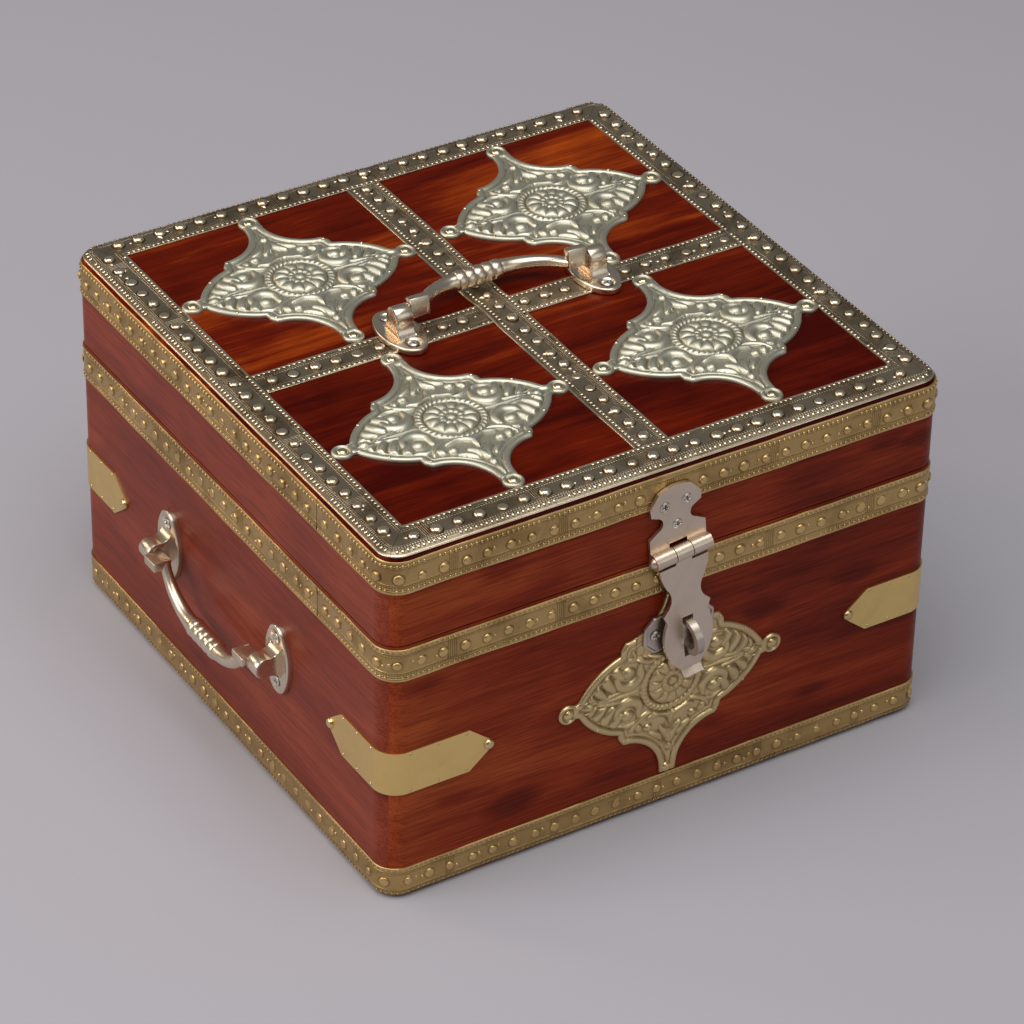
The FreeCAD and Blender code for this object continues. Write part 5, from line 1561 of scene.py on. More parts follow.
    def relief(self, x: Array, y: Array, edge: Array) -> Array:
        """The height over the wood at each point, with edge its distance from the outline.

        Args:
            x: across the plate.
            y: up the plate.
            edge: distances from the outline.

        Returns:
            Heights.
        """
        fold_x, fold_y = np.abs(x), np.abs(y)
        raised = np.zeros_like(x)
        for feature in self.features():
            raised = np.maximum(raised, feature.height(fold_x, fold_y))
        raised = np.maximum(raised, Ball((0.0, -45.8), 1.8, 4.6, 1.3).height(x, y))
        r = np.hypot(x, y)
        raised = np.where(r < 17.2, 0, raised * eased(r, 16.8, 18.2))
        raised = np.maximum(raised, self.medallion(r, np.arctan2(y, x)))
        raised = raised * eased(edge, 3.4, 5.2)
        roll = 1.1 * np.clip(1 - ((edge - 1.75) / 1.7) ** 2, 0, None) ** 0.5
        line = 0.45 * np.exp(-(((edge - 4.8) / 0.6) ** 2))
        pillow = 0.45 * eased(edge, 4.0, 11.0)
        return self.level + np.maximum(roll, np.maximum(raised + pillow, line))

    def plate(self, low: float, high: float) -> Shape:
        """The plate's surface: rays from the middle to the outline, and its flat back.

        Each point is the outline's point at its angle times a share from 0 to 1; the
        shares crowd near the outline, and the height is the relief there.

        Args:
            low: the height of the lower cut.
            high: the height of the upper cut.

        Returns:
            The closed plate.
        """
        turn = np.linspace(0, 2 * math.pi, self.angles, endpoint=False) + 0.003
        far = self.reach(turn, low, high)
        r = (np.linspace(0.004, 1, self.rings) ** 0.92)[:, None] * far[None]
        x, y = r * np.cos(turn), r * np.sin(turn)
        rim = np.stack([far * np.cos(turn), far * np.sin(turn)], -1)
        edge = distance_inside(x, y, rim)
        z = self.relief(x, y, edge)
        mean = z.copy()
        for _ in range(14):
            sides = np.roll(mean, 1, 1) + np.roll(mean, -1, 1)
            inner = np.concatenate([mean[:1], mean[:-1]])
            outer = np.concatenate([mean[1:], mean[-1:]])
            mean = 0.5 * mean + 0.125 * (sides + inner + outer)
        # The hollow mark is high where the relief lies below its smoothed neighbours and on the plate's back;
        # these are darkened with tarnish and painted shade.
        hollow = np.where(edge < 0.6, 0.45, np.clip(0.5 + (mean - z) * 1.15, 0, 1))
        under = np.full((len(rim), 1), self.back)
        back = [np.concatenate([rim * share, under], 1) for share in (1.0, 0.5)]
        marks = np.concatenate([hollow, np.full((2, len(rim)), 0.8)])
        return skinned(np.concatenate([np.stack([x, y, z], -1), back]), marks={"hollow": marks})

    def ear_disc(self, x: float, y: float) -> Shape:
        """A round ear: a rolled rim and a dish for its nail, by the radius from its middle.

        Args:
            x: its middle across.
            y: its middle up.

        Returns:
            The disc.
        """
        radius, height, shade = np.array(self.ear).T
        rings = circles(radius, height, 40) + np.array([x, y, 0.0])
        return skinned(rings, marks={"hollow": np.repeat(shade[:, None], 40, axis=1)})


def distance_inside(x: Array, y: Array, rim: Array) -> Array:
    """The distance of each point from a closed outline, by its nearest straight span.

    Args:
        x: across the plate.
        y: up the plate.
        rim: the outline's points.

    Returns:
        Distances.
    """
    start = rim[::2]
    step = np.roll(start, -1, 0) - start
    length = np.maximum((step**2).sum(-1), 1e-9)
    best = np.full(x.shape, FAR)
    for (ax, ay), (sx, sy), whole in zip(start, step, length):
        dx, dy = x - ax, y - ay
        share = np.clip((dx * sx + dy * sy) / whole, 0, 1)
        best = np.minimum(best, (dx - share * sx) ** 2 + (dy - share * sy) ** 2)
    return np.sqrt(best)


@dataclass
class OrnamentWork:
    """The four ornaments of the lid and the one on the front, with their fasteners."""

    places: dict[str, tuple[float, float, float]] = field(
        default_factory=lambda: {
            "back_left": (-69.2, 69.6, -3.0),
            "back_right": (70.5, 68.5, -2.5),
            "front_left": (-68.7, -69.1, -1.4),
            "front_right": (69.7, -68.9, -1.0),
        }
    )
    front: tuple[float, float] = (2.4, 72.4)
    front_low: float = -54.1
    front_high: float = 50.7
    uncut: float = 80.0
    pressed_middle: tuple[float, float] = (0.1, 29.0)
    pressed_half: tuple[float, float] = (19.3, 10.0)
    pressed_levels: tuple[float, float] = (0.7, 0.72)

    def frame(self, place: str) -> Frames:
        """The frame of an ornament on the lid.

        Args:
            place: one of the four places.

        Returns:
            Its frame.
        """
        x, y, turn = self.places[place]
        angle = math.radians(turn)
        return Frames.one((x, y, LID_TOP), (math.cos(angle), math.sin(angle), 0), (0, 0, 1))

    def ears(self) -> tuple[tuple[float, float], ...]:
        """The middles of the lid ornaments' ears, seen from above.

        Returns:
            X and Y of each.
        """
        found, half = [], Ornament().half
        for x, y, turn in self.places.values():
            cos, sin = math.cos(math.radians(turn)), math.sin(math.radians(turn))
            for ux, uy in EARS:
                found.append((x + half * (ux * cos - uy * sin), y + half * (ux * sin + uy * cos)))
        return tuple(found)

    def build(self) -> None:
        """Make the plates and set them in place of their nodes."""
        model = Ornament()
        ways = ((1, 0), (-1, 0), (0, 1), (0, -1))
        ears = [model.ear_disc(x * model.half, y * model.half) for x, y in ways]
        whole = Shape.join([model.plate(-self.uncut, self.uncut), *ears])
        for place in self.places:
            placed, node = put(whole, self.frame(place)), f"top_ornament_{place}"
            piece(f"ornament_{place}", placed, Finish.ORNAMENT, "lid", "ornament_brass", [node], 60.0)
        flat = self._pressed(model.plate(self.front_low, self.front_high))
        frame = forward((self.front[0], -WOOD_FACE, self.front[1]))
        placed = put(Shape.join([flat, *ears[:2]]), frame)
        slot, node = "front_ornament_brass", "front_ornament"
        piece("ornament_front", placed, Finish.FRONT_ORNAMENT, "carcass", slot, [node], 60.0)

    def _pressed(self, shape: Shape) -> Shape:
        """The relief pressed flat behind the staple's plate.

        Args:
            shape: the plate.

        Returns:
            The pressed plate.
        """
        p = shape.points.copy()
        aside = (np.abs(p[:, :2] - self.pressed_middle) - self.pressed_half).max(1)
        flat = 1 - eased(aside, 0.0, 1.6)
        z, (low, high) = p[:, 2], self.pressed_levels
        p[:, 2] = np.where(z > low, z * (1 - flat) + np.minimum(z, high) * flat, z)
        return Shape(p, shape.quads, shape.triangles, shape.quad_uv, shape.marks)


@dataclass
class Fasteners:
    """Nails, pins and screws, each group made as turned shapes on its own spots."""

    nail_radius: float = 2.7
    nail_rise: float = 1.7
    nail_lift: float = 0.9
    pin_radius: float = 0.8
    pin_lift: float = 2.0
    screw_radius: float = 2.8
    screw_dome: float = 0.85
    seed: int = 71

    nail_shank: Table = ((0.3, -9.0), (0.75, -8.6), (0.78, -0.02))
    pin_shank: Table = ((0.2, -6.0), (0.4, -5.8), (0.4, 0.0))
    screw_rings: Numbers = (0.08, 0.30, 0.45, 0.62, 0.85, 1.10, 1.35, 1.55, 1.75, 2.05, 2.35, 2.6, 2.74, 2.8)
    screw_shank: Table = ((1.2, -1.3), (1.15, -9.0), (0.2, -9.45))
    slot_half: Numbers = (0.52, 0.30)
    slot_reach: Numbers = (1.75, 1.45)
    pin_shares: Table = ((0.455, 0.475), (0.715, 0.262))
    front_nails: Table = ((1, 0, 0.9), (-1, 0, 0.9), (-0.02, -0.905, 1.2))
    plate_middle: float = 72.0
    plate_arm: float = 50.0
    long_arm_front: float = 56.5
    long_arm_side: float = 52.0
    nail_from_tip: float = 2.2
    pins_from_ends: Numbers = (13.0, 14.1)
    pin_rise: float = 10.1

    def nail(self) -> Shape:
        """A domed head over a straight shank.

        Returns:
            The nail.
        """
        shares = np.cos(np.linspace(0, math.pi / 2, 7))[:-1]
        r, rise = self.nail_radius, self.nail_rise
        head = [(r * s, rise * math.sqrt(max(0.0, 1 - s**2.3))) for s in shares]
        return lathe([*self.nail_shank, (r * 0.96, -0.02), *head, (0.12, rise)], 20)

    def pin(self) -> Shape:
        """A small pin with a low round head."""
        r = self.pin_radius
        return lathe([*self.pin_shank, (r, 0.0), (r * 0.8, 0.24), (r * 0.4, 0.38), (0.05, 0.4)], 9)

    def screw(self) -> Shape:
        """A countersunk screw whose head is cut by a crossed recess.

        The head's height is a low dome, less the recess where the point lies within
        half a slot's width of either axis and short of the slots' ends.

        Returns:
            The screw.
        """
        sides = 56
        radius = np.array(self.screw_rings)
        top = circles(radius, radius, sides)
        x, y, r = np.moveaxis(top, -1, 0)

        def arm(aside: Array, along: Array) -> Array:
            """One arm of the recess."""
            (wide, narrow), (end, inner) = self.slot_half, self.slot_reach
            return eased(-np.abs(aside), -wide, -narrow) * eased(-np.abs(along), -end, -inner)

        slot = np.maximum(arm(x, y), arm(y, x))
        head = self.screw_dome * (1 - (r / self.screw_radius) ** 2) - 0.02 - 0.10 * (r > 2.7)
        top[..., 2] = head - slot * (1 - 0.4 * np.hypot(x, y) / self.slot_reach[0])
        shank = circles(*np.array(self.screw_shank).T, sides)
        # Low points of the head, in the recess and at the rim, are darkened: grime and painted shade.
        return grimed_and_shaded(skinned(np.concatenate([top, shank])), [-0.4, 0.02, 0.16], [1.0, 0.8, 0.0])

    def spread(self, unit: Shape, spots: Sequence[Frames]) -> Shape:
        """A unit on each spot, each turned by its own angle about its axis.

        Args:
            unit: a nail, pin or screw.
            spots: where they go.

        Returns:
            All of them as one shape.
        """
        rng = np.random.default_rng(self.seed)
        frames = Frames.many(spots)
        angle = rng.uniform(0, 2 * math.pi, len(frames.origin))[:, None]
        along = frames.along * np.cos(angle) + frames.across * np.sin(angle)
        across = frames.across * np.cos(angle) - frames.along * np.sin(angle)
        turned = Frames(frames.origin, along, across, frames.out)
        return scattered(unit, turned, np.ones((len(frames.origin), 3)))

    def build(self, ornaments: OrnamentWork) -> None:
        """Make every group of nails, pins and screws on its spots.

        Args:
            ornaments: what the ears' nails and the pins hold.
        """
        nail, pin, screw, half = self.nail(), self.pin(), self.screw(), Ornament().half
        pins = [(sx * x, sy * y) for sx in (-1, 1) for sy in (-1, 1) for x, y in self.pin_shares]
        top_nails, top_pins = [], []
        for place in ornaments.places:
            frame = ornaments.frame(place)
            middle, along, across = frame.origin[0], frame.along[0], frame.across[0]
            groups = ((top_nails, EARS, self.nail_lift), (top_pins, pins, self.pin_lift))
            for spots, shares, lift in groups:
                for x, y in shares:
                    origin = middle + along * x * half + across * y * half + frame.out[0] * lift
                    spots.append(Frames.one(origin, along, frame.out[0]))
        middle = np.array([ornaments.front[0], -WOOD_FACE, ornaments.front[1]])
        front_nails, front_pins = (
            [forward(middle + np.array([x * half, -lift, y * half])) for x, y, lift in places]
            for places in (self.front_nails, [(x, y, self.pin_lift) for x, y in pins])
        )
        plate_nails, plate_pins = self._plate_spots()
        top_screws, side_screws = HandleWork().screw_spots()
        hasp_screws, staple_screws = HaspWork().screw_spots()
        top, side = (Finish.TOP_NAIL, "lid", "nail_brass"), (Finish.SIDE_NAIL, "carcass", "nail_brass")
        lid, carcass = ((Finish.SCREW, body, "screw_metal") for body in ("lid", "carcass"))
        for name, unit, spots, look, node in (
            ("ear_nails_top", nail, top_nails, top, "top_ornament_nails"),
            ("tack_pins_top", pin, top_pins, top, "top_ornament_pins"),
            ("ear_nails_front", nail, front_nails, side, "front_ornament_nails"),
            ("tack_pins_front", pin, front_pins, side, "front_ornament_pins"),
            ("plate_nails", nail, plate_nails, side, "corner_plate_nails"),
            ("plate_pins", pin, plate_pins, side, "corner_plate_pins"),
            ("pad_screws_top", screw, top_screws, lid, "top_handle_screws"),
            ("pad_screws_side", screw, side_screws, carcass, "side_handle_screws"),
            ("hasp_plate_screws", screw, hasp_screws, lid, "hasp_screws"),
            ("staple_plate_screws", screw, staple_screws, carcass, "staple_screws"),
        ):
            piece(name, self.spread(unit, spots), *look, [node])

    def _plate_spots(self) -> tuple[list[Frames], list[Frames]]:
        """The spots of the corner plates' nails and of the pins along their edges.

        Returns:
            The nails' spots and the pins' spots.
        """
        nails, pins = [], []
        for sx, sy, face in product((-1, 1), (-1, 1), ("front", "side")):
            longer = self.long_arm_front if face == "front" else self.long_arm_side
            reach = longer if sx == sy == -1 else self.plate_arm

            def spot(inset: float, rise: float = 0.0) -> Frames:
                """A spot on this arm.

                Args:
                    inset: from the chest's corner.
                    rise: over the plate's middle.

                Returns:
                    Its frame.
                """
                near, z = HALF - inset, self.plate_middle + rise
                if face == "front":
                    return Frames.one((sx * near, sy * HALF, z), (1, 0, 0), (0, sy, 0))
                return Frames.one((sx * HALF, sy * near, z), (0, 1, 0), (sx, 0, 0))

            nails.append(spot(reach - self.nail_from_tip))
            start, end = self.pins_from_ends[0], reach - self.pins_from_ends[1]
            for inset in (start, (start + end) / 2, end):
                pins += [spot(inset, rise) for rise in (-self.pin_rise, self.pin_rise)]
        return nails, pins


def star_rings(outline: Array, hub: Sequence[float], levels: Sequence[tuple[float, float, float]]) -> Array:
    """Rings of a plate: the outline drawn towards a hub by a distance, at a height.

    Args:
        outline: points (n, 2) round the plate.
        hub: the place that every ray starts from.
        levels: (share of the ray, distance in from there, height) of each ring.

    Returns:
        Points (levels, n, 3).
    """
    hub_point = np.array(hub, float)
    ray = outline - hub_point
    far = np.hypot(ray[:, 0], ray[:, 1])
    rings = []
    for share, inward, height in levels:
        scaled = np.clip(share - inward / far, 0.001, None)
        flat = hub_point + ray * scaled[:, None]
        rings.append(np.concatenate([flat, np.full((len(flat), 1), height)], 1))
    return np.array(rings)


@dataclass
class HandlePad:
    """A cast pad: a pointed oval plate with a round-topped lug, bored on one side."""

    length: float = 38.0
    width: float = 21.0
    tip: float = 7.0
    thickness: float = 3.0
    axis: float = 11.0
    lug: float = 9.0
    lug_radius: float = 5.2
    screw: float = 12.3

    bore: Table = ((2.75, 0.0), (2.35, 0.3), (2.12, 0.7), (2.12, 5.6), (0.1, 5.7))

    def oval(self) -> Array:
        """Two side arcs that run into small round tips, long along Y.

        Returns:
            The outline's points.
        """
        run = self.length / 2 - self.tip
        side = (self.width**2 / 4 + run**2 - self.tip**2) / (self.width - 2 * self.tip)
        hub = side - self.width / 2
        reach = math.hypot(hub, run)
        meet = (self.tip * hub / reach, run + self.tip * run / reach)
        right = through((meet[0], -meet[1]), (self.width / 2, 0), meet, 30)
        top = through(meet, (0, self.length / 2), (-meet[0], meet[1]), 12)
        left = through((-meet[0], meet[1]), (-self.width / 2, 0), (-meet[0], -meet[1]), 30)
        low = through((-meet[0], -meet[1]), (0, -self.length / 2), (meet[0], -meet[1]), 12)
        return resampled(np.concatenate([right[:-1], top[:-1], left[:-1], low[:-1]]), 132)

    def base(self) -> Shape:
        """The plate with a rounded edge and a wide countersink round each screw.

        Returns:
            The plate.
        """
        edge = [(0.5, 0.0, 0.02), (1.0, 0.0, 0.02), (1.0, 0.0, self.thickness - 1.0)]
        for a in map(math.radians, (18, 36, 54, 72, 90)):
            edge.append((1.0, 1.0 - math.cos(a), self.thickness - 1.0 + math.sin(a)))
        inner = [(share, 0.0, self.thickness) for share in np.linspace(0.92, 0.0, 34)]
        rings = star_rings(self.oval(), (0, 0), [*edge, *inner])
        top = rings[..., 2] > self.thickness - 0.6
        for sign in (-1, 1):
            away = np.hypot(rings[..., 0], rings[..., 1] - sign * self.screw)
            sink = 0.75 * (1 - eased(away, 2.9, 4.3))
            rings[..., 2] -= np.where(top, sink, 0)
        return skinned(rings)

    def lug_side(self) -> Array:
        """The lug's outline across the bail: feet, concave flanks and a round crown.

        Returns:
            The outline's points.
        """
        r, top = self.lug_radius, self.axis
        crown = through((r, top), (0, top + r), (-r, top), 24)
        left = through((-r, top - 1.5), (-r - 0.5, 5.4), (-r - 3.0, self.thickness - 0.4), 9)
        foot = np.array([[-r - 3.0, 1.0], [r + 3.0, 1.0]])
        right = left[::-1] * np.array([-1, 1])
        return resampled(np.concatenate([crown, left, foot, right]), 96)

    def lug_block(self, bored: int) -> Shape:
        """The lug from end to end along X, with eased ends and a bore on one of them.

        Args:
            bored: the end with the bore, -1 or 1.

        Returns:
            The lug.
        """
        outline, hub, half = self.lug_side(), np.array([0.0, self.axis]), self.lug / 2
        plain = [(0.0, 0.0, -half), (0.6, 0.0, -half), (1.0, 0.55, -half)]
        plain += [(1.0, 0.16, -half + 0.14), (1.0, 0.0, -half + 0.55)]
        bored_end = [(1.0, 0.0, half - 0.55), (1.0, 0.16, half - 0.14), (1.0, 0.55, half), (0.7, 0.0, half)]
        ray = outline - hub
        ray = ray / np.hypot(ray[:, 0], ray[:, 1])[:, None]
        bore = []
        for radius, depth in self.bore:
            level = np.full((len(ray), 1), half - depth)
            bore.append(np.concatenate([hub + ray * radius, level], 1))
        rings = np.concatenate([star_rings(outline, hub, [*plain, *bored_end]), np.array(bore)])
        return skinned(np.stack([rings[..., 2] * bored, rings[..., 0], rings[..., 1]], -1))

    def shape(self, bored: int) -> Shape:
        """Plate and lug facing +Z; bored is the side, along X, of the bail's pin."""
        return Shape.join([self.base(), self.lug_block(bored)])


@dataclass
class HandleBail:
    """The swinging bail: a ringed grip, two bent tapering arms, end blocks and stub pins."""

    drop: float = 19.0
    grip: float = 24.5
    bend: float = 30.0
    bend_angle: float = 68.0
    thick: float = 4.0
    thin: float = 2.35
    ring: float = 4.9
    groove: float = 4.15
    rings: int = 5
    block_outer: float = 48.2
    block_length: float = 10.0
    block_thickness: float = 4.8
    heel: float = 7.0
    toe: float = 2.4
    pin_radius: float = 2.0
    pin_length: float = 5.4
    gap: float = 0.4
    ease: float = 0.5
    stub: tuple[float, float] = (1.2, 1.6)
    collar: float = 0.25
    collar_share: float = 0.08

    def rod(self) -> Shape:
        """Grip and arms: a circle carried along the bail's line, swelling at each ring.

        The line is straight over the grip and an arc on each side. The radius narrows
        along the arc, and over the grip it is the groove's plus a rounded wave per ring.

        Returns:
            The rod.
        """
        half = self.grip / 2
        arc_length = self.bend * math.radians(self.bend_angle)
        u = np.linspace(-half, half, 91)
        wave = np.abs(np.sin(np.pi * ((u + half) / self.grip * self.rings))) ** 0.42
        radius = self.groove + (self.ring - self.groove) * wave
        swing = np.linspace(0, math.radians(self.bend_angle), 34)[1:]
        arm_x = half + self.bend * np.sin(swing)
        arm_y = self.drop - self.bend * (1 - np.cos(swing))
        along = swing * self.bend / arc_length
        arm_r = self.thick * (1 - along) + self.thin * along
        arm_r = arm_r + self.collar * np.exp(-((along / self.collar_share) ** 2))
        stub_x, stub_y = arm_x[-1] + self.stub[0], arm_y[-1] - self.stub[1]
        right = np.stack([np.append(arm_x, stub_x), np.append(arm_y, stub_y)], -1)
        right_r = np.append(arm_r, self.thin)
        middle = np.stack([u, np.full(len(u), self.drop)], -1)
        line = np.concatenate([right[::-1] * [-1, 1], middle, right])
        radii = np.concatenate([right_r[::-1], radius, right_r])
        ahead = np.gradient(line, axis=0)
        ahead /= np.hypot(ahead[:, 0], ahead[:, 1])[:, None]
        side = np.stack([-ahead[:, 1], ahead[:, 0]], -1)
        turn = np.linspace(0, 2 * math.pi, 28, endpoint=False)
        flat = line[:, None] + side[:, None] * (radii[:, None] * np.cos(turn))[..., None]
        z = radii[:, None] * np.sin(turn)
        return skinned(np.concatenate([flat, z[..., None]], -1))

    def block(self, side: int) -> Shape:
        """An end block with crisp, slightly eased edges and its stub pin.

        Args:
            side: the end, -1 or 1.

        Returns:
            The block with its pin.
        """
        ease = self.ease
        right, left, up = self.heel - ease, -self.toe + ease, self.block_thickness / 2 - ease
        outline = []
        for cx, cy, start in ((right, up, 0), (left, up, 90), (left, -up, 180), (right, -up, 270)):
            for a in map(math.radians, range(start, start + 91, 30)):
                outline.append((cx + ease * math.cos(a), cy + ease * math.sin(a)))
        start, end = self.block_outer - self.block_length, self.block_outer
        levels = [(1.0, 0.5, start), (1.0, 0.14, start + 0.14), (1.0, 0.0, start + 0.5)]
        levels += [(1.0, 0.0, end - 0.5), (1.0, 0.14, end - 0.14), (1.0, 0.5, end)]
        rings = star_rings(np.array(outline), ((self.heel - self.toe) / 2, 0.0), levels)
        placed = np.stack([rings[..., 2] * side, rings[..., 1], rings[..., 0]], -1)
        r, tip = self.pin_radius, end + self.gap + self.pin_length
        pin = lathe([(r - 0.1, end - 1.0), (r, end - 0.9), (r, tip - 0.3), (r - 0.3, tip)], 20)
        p = pin.points
        pin.points = np.stack([p[:, 2] * side, p[:, 0], p[:, 1]], -1)
        return Shape.join([skinned(placed), pin.outward()])

    def shape(self) -> Shape:
        """The whole bail, its axis along X and its grip towards +Y."""
        return Shape.join([self.rod(), self.block(-1), self.block(1)])


@dataclass
class HandleWork:
    """Three carrying handles: one on the lid and one on each side."""

    spacing: float = 106.2
    top_offset: float = 3.5
    top_dip: float = 13.0
    side_height: float = 78.5
    screw_lift: float = 2.72

    @staticmethod
    def _placed(shape: Shape, origin: Array, along: Array, across: Array, out: Array) -> Shape:
        """A shape carried to a frame given by its three directions."""
        frame = Frames(*(np.array([v], float) for v in (origin, along, across, out)))
        return scattered(shape, frame, np.ones((1, 3)))

    def build(self) -> None:
        """Make the pads and bails in their frames."""
        pad, bail = HandlePad(), HandleBail()
        for side, directions in {
            "top": ((0, self.top_offset, SKIN_TOP), (1, 0, 0), (0, 1, 0), (0, 0, 1)),
            "left": ((-WOOD_FACE, 0, self.side_height), (0, 1, 0), (0, 0, -1), (-1, 0, 0)),
            "right": ((WOOD_FACE, 0, self.side_height), (0, -1, 0), (0, 0, -1), (1, 0, 0)),
        }.items():
            origin, along, across, out = (np.array(direction, float) for direction in directions)
            top = side == "top"
            body, dip = ("lid", math.radians(self.top_dip)) if top else ("carcass", 0.0)
            words = ("left", "right") if top else ("front", "back")
            for end in (-1, 1):
                spot = origin + along * end * self.spacing / 2
                node = f"{side}_handle_pad_{words[int(spot[0 if top else 1] > 0)]}"
                placed = self._placed(pad.shape(-end), spot, along, across, out)
                piece(f"cast_{node}", placed, Finish.HANDLE, body, "handle_metal", [node])
            reach = across * math.cos(dip) - out * math.sin(dip)
            up = out * math.cos(dip) + across * math.sin(dip)
            placed = self._placed(bail.shape(), origin + out * pad.axis, along, reach, up)
            name, node = f"cast_{side}_bail", f"{side}_handle_bail"
            piece(name, placed, Finish.HANDLE, f"{side}_handle", "handle_metal", [node])

    def screw_spots(self) -> tuple[list[Frames], list[Frames]]:
        """The spots of the lid handle's screws and of the side handles'.

        Returns:
            Both lists of spots.
        """
        both, half, screw = (-1, 1), self.spacing / 2, HandlePad().screw
        top, sides = [], []
        for end, side in product(both, both):
            place = (end * half, self.top_offset + side * screw, SKIN_TOP + self.screw_lift)
            top.append(Frames.one(place, (1, 0, 0), (0, 0, 1)))
        for sx, end, side in product(both, both, both):
            place = (sx * (WOOD_FACE + self.screw_lift), end * half, self.side_height + side * screw)
            sides.append(Frames.one(place, (0, 1, 0), (sx, 0, 0)))
        return top, sides


@dataclass
class HaspWork:
    """The staple's plate, in raised steel; the hasp itself keeps its own solids."""

    length: float = 38.0
    height: float = 19.4
    corner: float = 5.0
    sheet: float = 1.6
    middle: tuple[float, float] = (4.85, 101.46)
    axis: tuple[float, float] = (2.4, 146.6)
    lean: float = 6.0
    hasp_sheet: float = 1.8
    slot_from_axis: float = 47.4
    staple_aside: tuple[float, float] = (-2.5, 2.0)
    staple_screw: float = 13.0

    hasp_screws: Table = ((-5.85, 26.4), (5.85, 26.4), (0.0, 14.6))

    def staple_plate(self) -> Shape:
        """An eight-sided plate with a raised border and a lower field.

        Returns:
            The plate, facing +Z.
        """
        a, b, c = self.length / 2, self.height / 2, self.corner
        upper = [(a, -b + c), (a, b - c), (a - c, b), (-a + c, b)]
        lower = [(-a, b - c), (-a, -b + c), (-a + c, -b), (a - c, -b)]
        top, low = self.sheet, self.sheet - 0.35
        levels = [(0.4, 0.0, 0.03), (1.0, 0.0, 0.03), (1.0, 0.0, low), (1.0, 0.35, top)]
        levels += [(1.0, 1.5, top), (1.0, 1.9, low), (0.78, 0.0, top - 0.38), (0.3, 0.0, top - 0.3)]
        return skinned(star_rings(resampled(np.array([*upper, *lower]), 152), (0, 0), levels))

    def screw_spots(self) -> tuple[list[Frames], list[Frames]]:
        """The spots of the upper plate's screws and of the staple's.

        Returns:
            Both lists of spots.
        """
        (x, z), cos, sin = self.axis, math.cos(math.radians(self.lean)), math.sin(math.radians(self.lean))
        hasp = [
            forward((x + across * cos - up * sin, -HALF - self.hasp_sheet, z + across * sin + up * cos))
            for across, up in self.hasp_screws
        ]
        x, z = x + self.slot_from_axis * sin, z - self.slot_from_axis * cos
        x, z = x + self.staple_aside[0], z + self.staple_aside[1]
        asides = (-self.staple_screw, self.staple_screw)
        return hasp, [forward((x + aside, -HALF - self.sheet, z)) for aside in asides]

    def build(self) -> None:
        """Put the plate in place of its node."""
        placed = put(self.staple_plate(), forward((self.middle[0], -HALF, self.middle[1])))
        body, slot, node = "carcass", "staple_metal", "staple_plate"
        piece("pressed_staple_plate", placed, Finish.STAPLE, body, slot, [node])


def dress_nodes(nodes: dict[str, bpy.types.Object]) -> None:
    """Give every CAD node that stays in view its finish.

    Args:
        nodes: the CAD's nodes by name.
    """
    for name, node in nodes.items():
        across = any(word in name for word in ("left", "right"))
        rules = (
            (name == "lid_top_board", Finish.LID_WOOD),
            (name == "floor_panel", Finish.FLOOR_WOOD),
            (name.endswith(("_rail", "_board")), Finish.SIDE_WOOD_ACROSS if across else Finish.SIDE_WOOD),
            (name.startswith("corner_plate"), Finish.PLATE),
            ("hinge" in name, Finish.HINGE),
            (name.startswith("staple"), Finish.STAPLE),
            (True, Finish.HASP),
        )
        material = next(finish for fits, finish in rules if fits).of()
        if not node.data.materials:
            node.data.materials.append(material)
        for slot in node.material_slots:
            slot.material = material


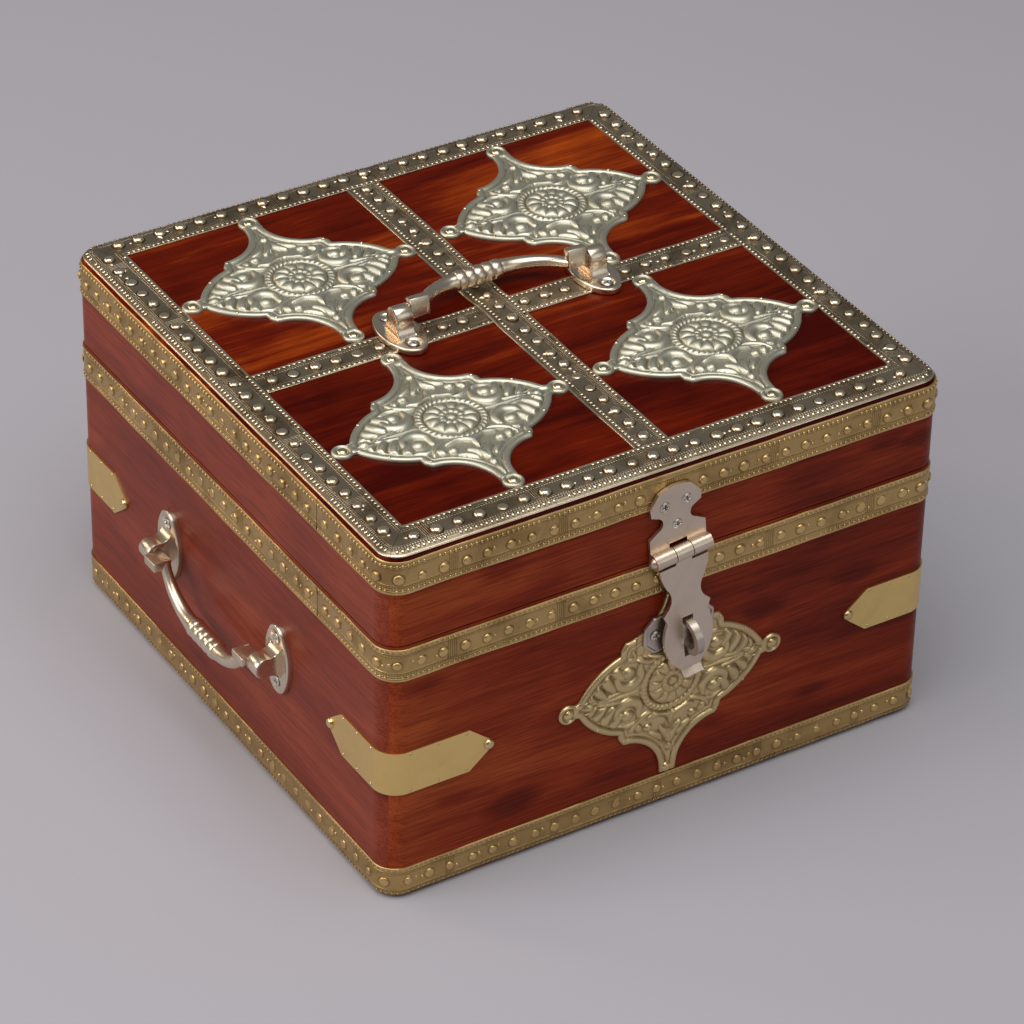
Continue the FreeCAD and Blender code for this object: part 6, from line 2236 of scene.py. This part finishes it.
@dataclass
class Studio:
    """A plain pale floor, soft lamps and the camera at the photograph's angle."""

    floor_colour: Colour = (0.415, 0.398, 0.432)
    floor_cloud: Colour = (0.37, 0.35, 0.38)
    floor_reach: float = 6.0
    floor_gap: float = 0.0002
    sky: Colour = (0.93, 0.96, 1.0)
    world_level: float = 0.17
    lens: float = 163.08
    place: tuple[float, float, float] = (-0.975717, -1.563983, 1.354820)
    right: tuple[float, float, float] = (0.85279346, -0.52194458, 0.01780914)
    down: tuple[float, float, float] = (-0.28501335, -0.49371029, -0.82159451)
    ahead: tuple[float, float, float] = (0.43761936, 0.69557458, -0.56979409)
    aim: tuple[float, float, float] = (0.0, 0.0, 0.1)

    lamps: tuple[tuple[Any, ...], ...] = (
        ("overhead", (-0.3, -0.5, 2.4), 2.2, 46.0, (1.0, 1.0, 1.0)),
        ("left_window", (-2.2, 0.4, 1.3), 1.6, 27.0, (1.0, 0.98, 0.96)),
        ("front_fill", (0.9, -2.4, 1.1), 1.6, 6.0, (1.0, 0.99, 0.97)),
        ("warm_side", (-1.40, 1.80, 1.15), 0.55, 7.0, (1.0, 0.70, 0.48)),
    )

    @staticmethod
    def thing(data: Any) -> bpy.types.Object:
        """A new object of the scene, named like its data.

        Args:
            data: a mesh, a light or a camera.

        Returns:
            The object.
        """
        made = bpy.data.objects.new(data.name, data)
        bpy.context.scene.collection.objects.link(made)
        return made

    def camera(self) -> None:
        """The camera, from its place and its three directions."""
        data = bpy.data.cameras.new("camera")
        data.lens = self.lens
        data.sensor_width = 36.0
        data.clip_start = 0.01
        data.clip_end = 50.0
        thing = self.thing(data)
        r, d, a = (Vector(v).normalized() for v in (self.right, self.down, self.ahead))
        turn = Matrix((r, -d, -a)).transposed().to_4x4()
        thing.matrix_world = Matrix.Translation(Vector(self.place)) @ turn
        bpy.context.scene.camera = thing

    def floor(self) -> None:
        """A wide plain floor just under the chest."""
        graph = Graph("studio_floor")
        cloud = graph.noise(graph.place(), 3.0, 2.0)
        colour = graph.mix(cloud * 0.10, self.floor_colour, self.floor_cloud)
        mesh = bpy.data.meshes.new("studio_floor")
        signs, reach = ((-1, -1), (1, -1), (1, 1), (-1, 1)), self.floor_reach
        mesh.from_pydata([(x * reach, y * reach, 0) for x, y in signs], [], [(0, 1, 2, 3)])
        mesh.materials.append(graph.finish(Base_Color=colour, Roughness=0.9))
        thing = self.thing(mesh)
        thing.location = (0, 0, -self.floor_gap)

    def lamp(self, name: str, place: Sequence[float], size: float, power: float, colour: Colour) -> None:
        """A square soft lamp that faces the chest.

        Args:
            name: its name.
            place: where it hangs.
            size: of a side, in metres.
            power: in watts.
            colour: of its light.
        """
        data = bpy.data.lights.new(name, "AREA")
        data.shape = "SQUARE"
        data.size = size
        data.energy = power
        data.color = colour
        thing = self.thing(data)
        thing.location = place
        aim = Vector(self.aim) - Vector(place)
        thing.rotation_euler = aim.to_track_quat("-Z", "Y").to_euler()

    def build(self) -> None:
        """Set up everything that isn't the chest."""
        self.camera()
        self.floor()
        for lamp in self.lamps:
            self.lamp(*lamp)
        world = bpy.data.worlds.new("studio")
        world.use_nodes = True
        background = world.node_tree.nodes["Background"]
        background.inputs["Color"].default_value = (*self.sky, 1.0)
        background.inputs["Strength"].default_value = self.world_level
        bpy.context.scene.world = world
        bpy.context.scene.view_settings.view_transform = "Standard"


def main() -> None:
    """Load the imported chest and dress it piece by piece."""
    logging.basicConfig(level=logging.INFO, format="%(name)s: %(message)s", stream=sys.stdout)
    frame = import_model()
    Studio().build()
    dress_nodes(frame["nodes"])
    ornaments = OrnamentWork()
    StripWork(ears=ornaments.ears()).build()
    ornaments.build()
    Fasteners().build(ornaments)
    HandleWork().build()
    HaspWork().build()
    log.info("chest dressed")


if __name__ == "__main__":
    main()
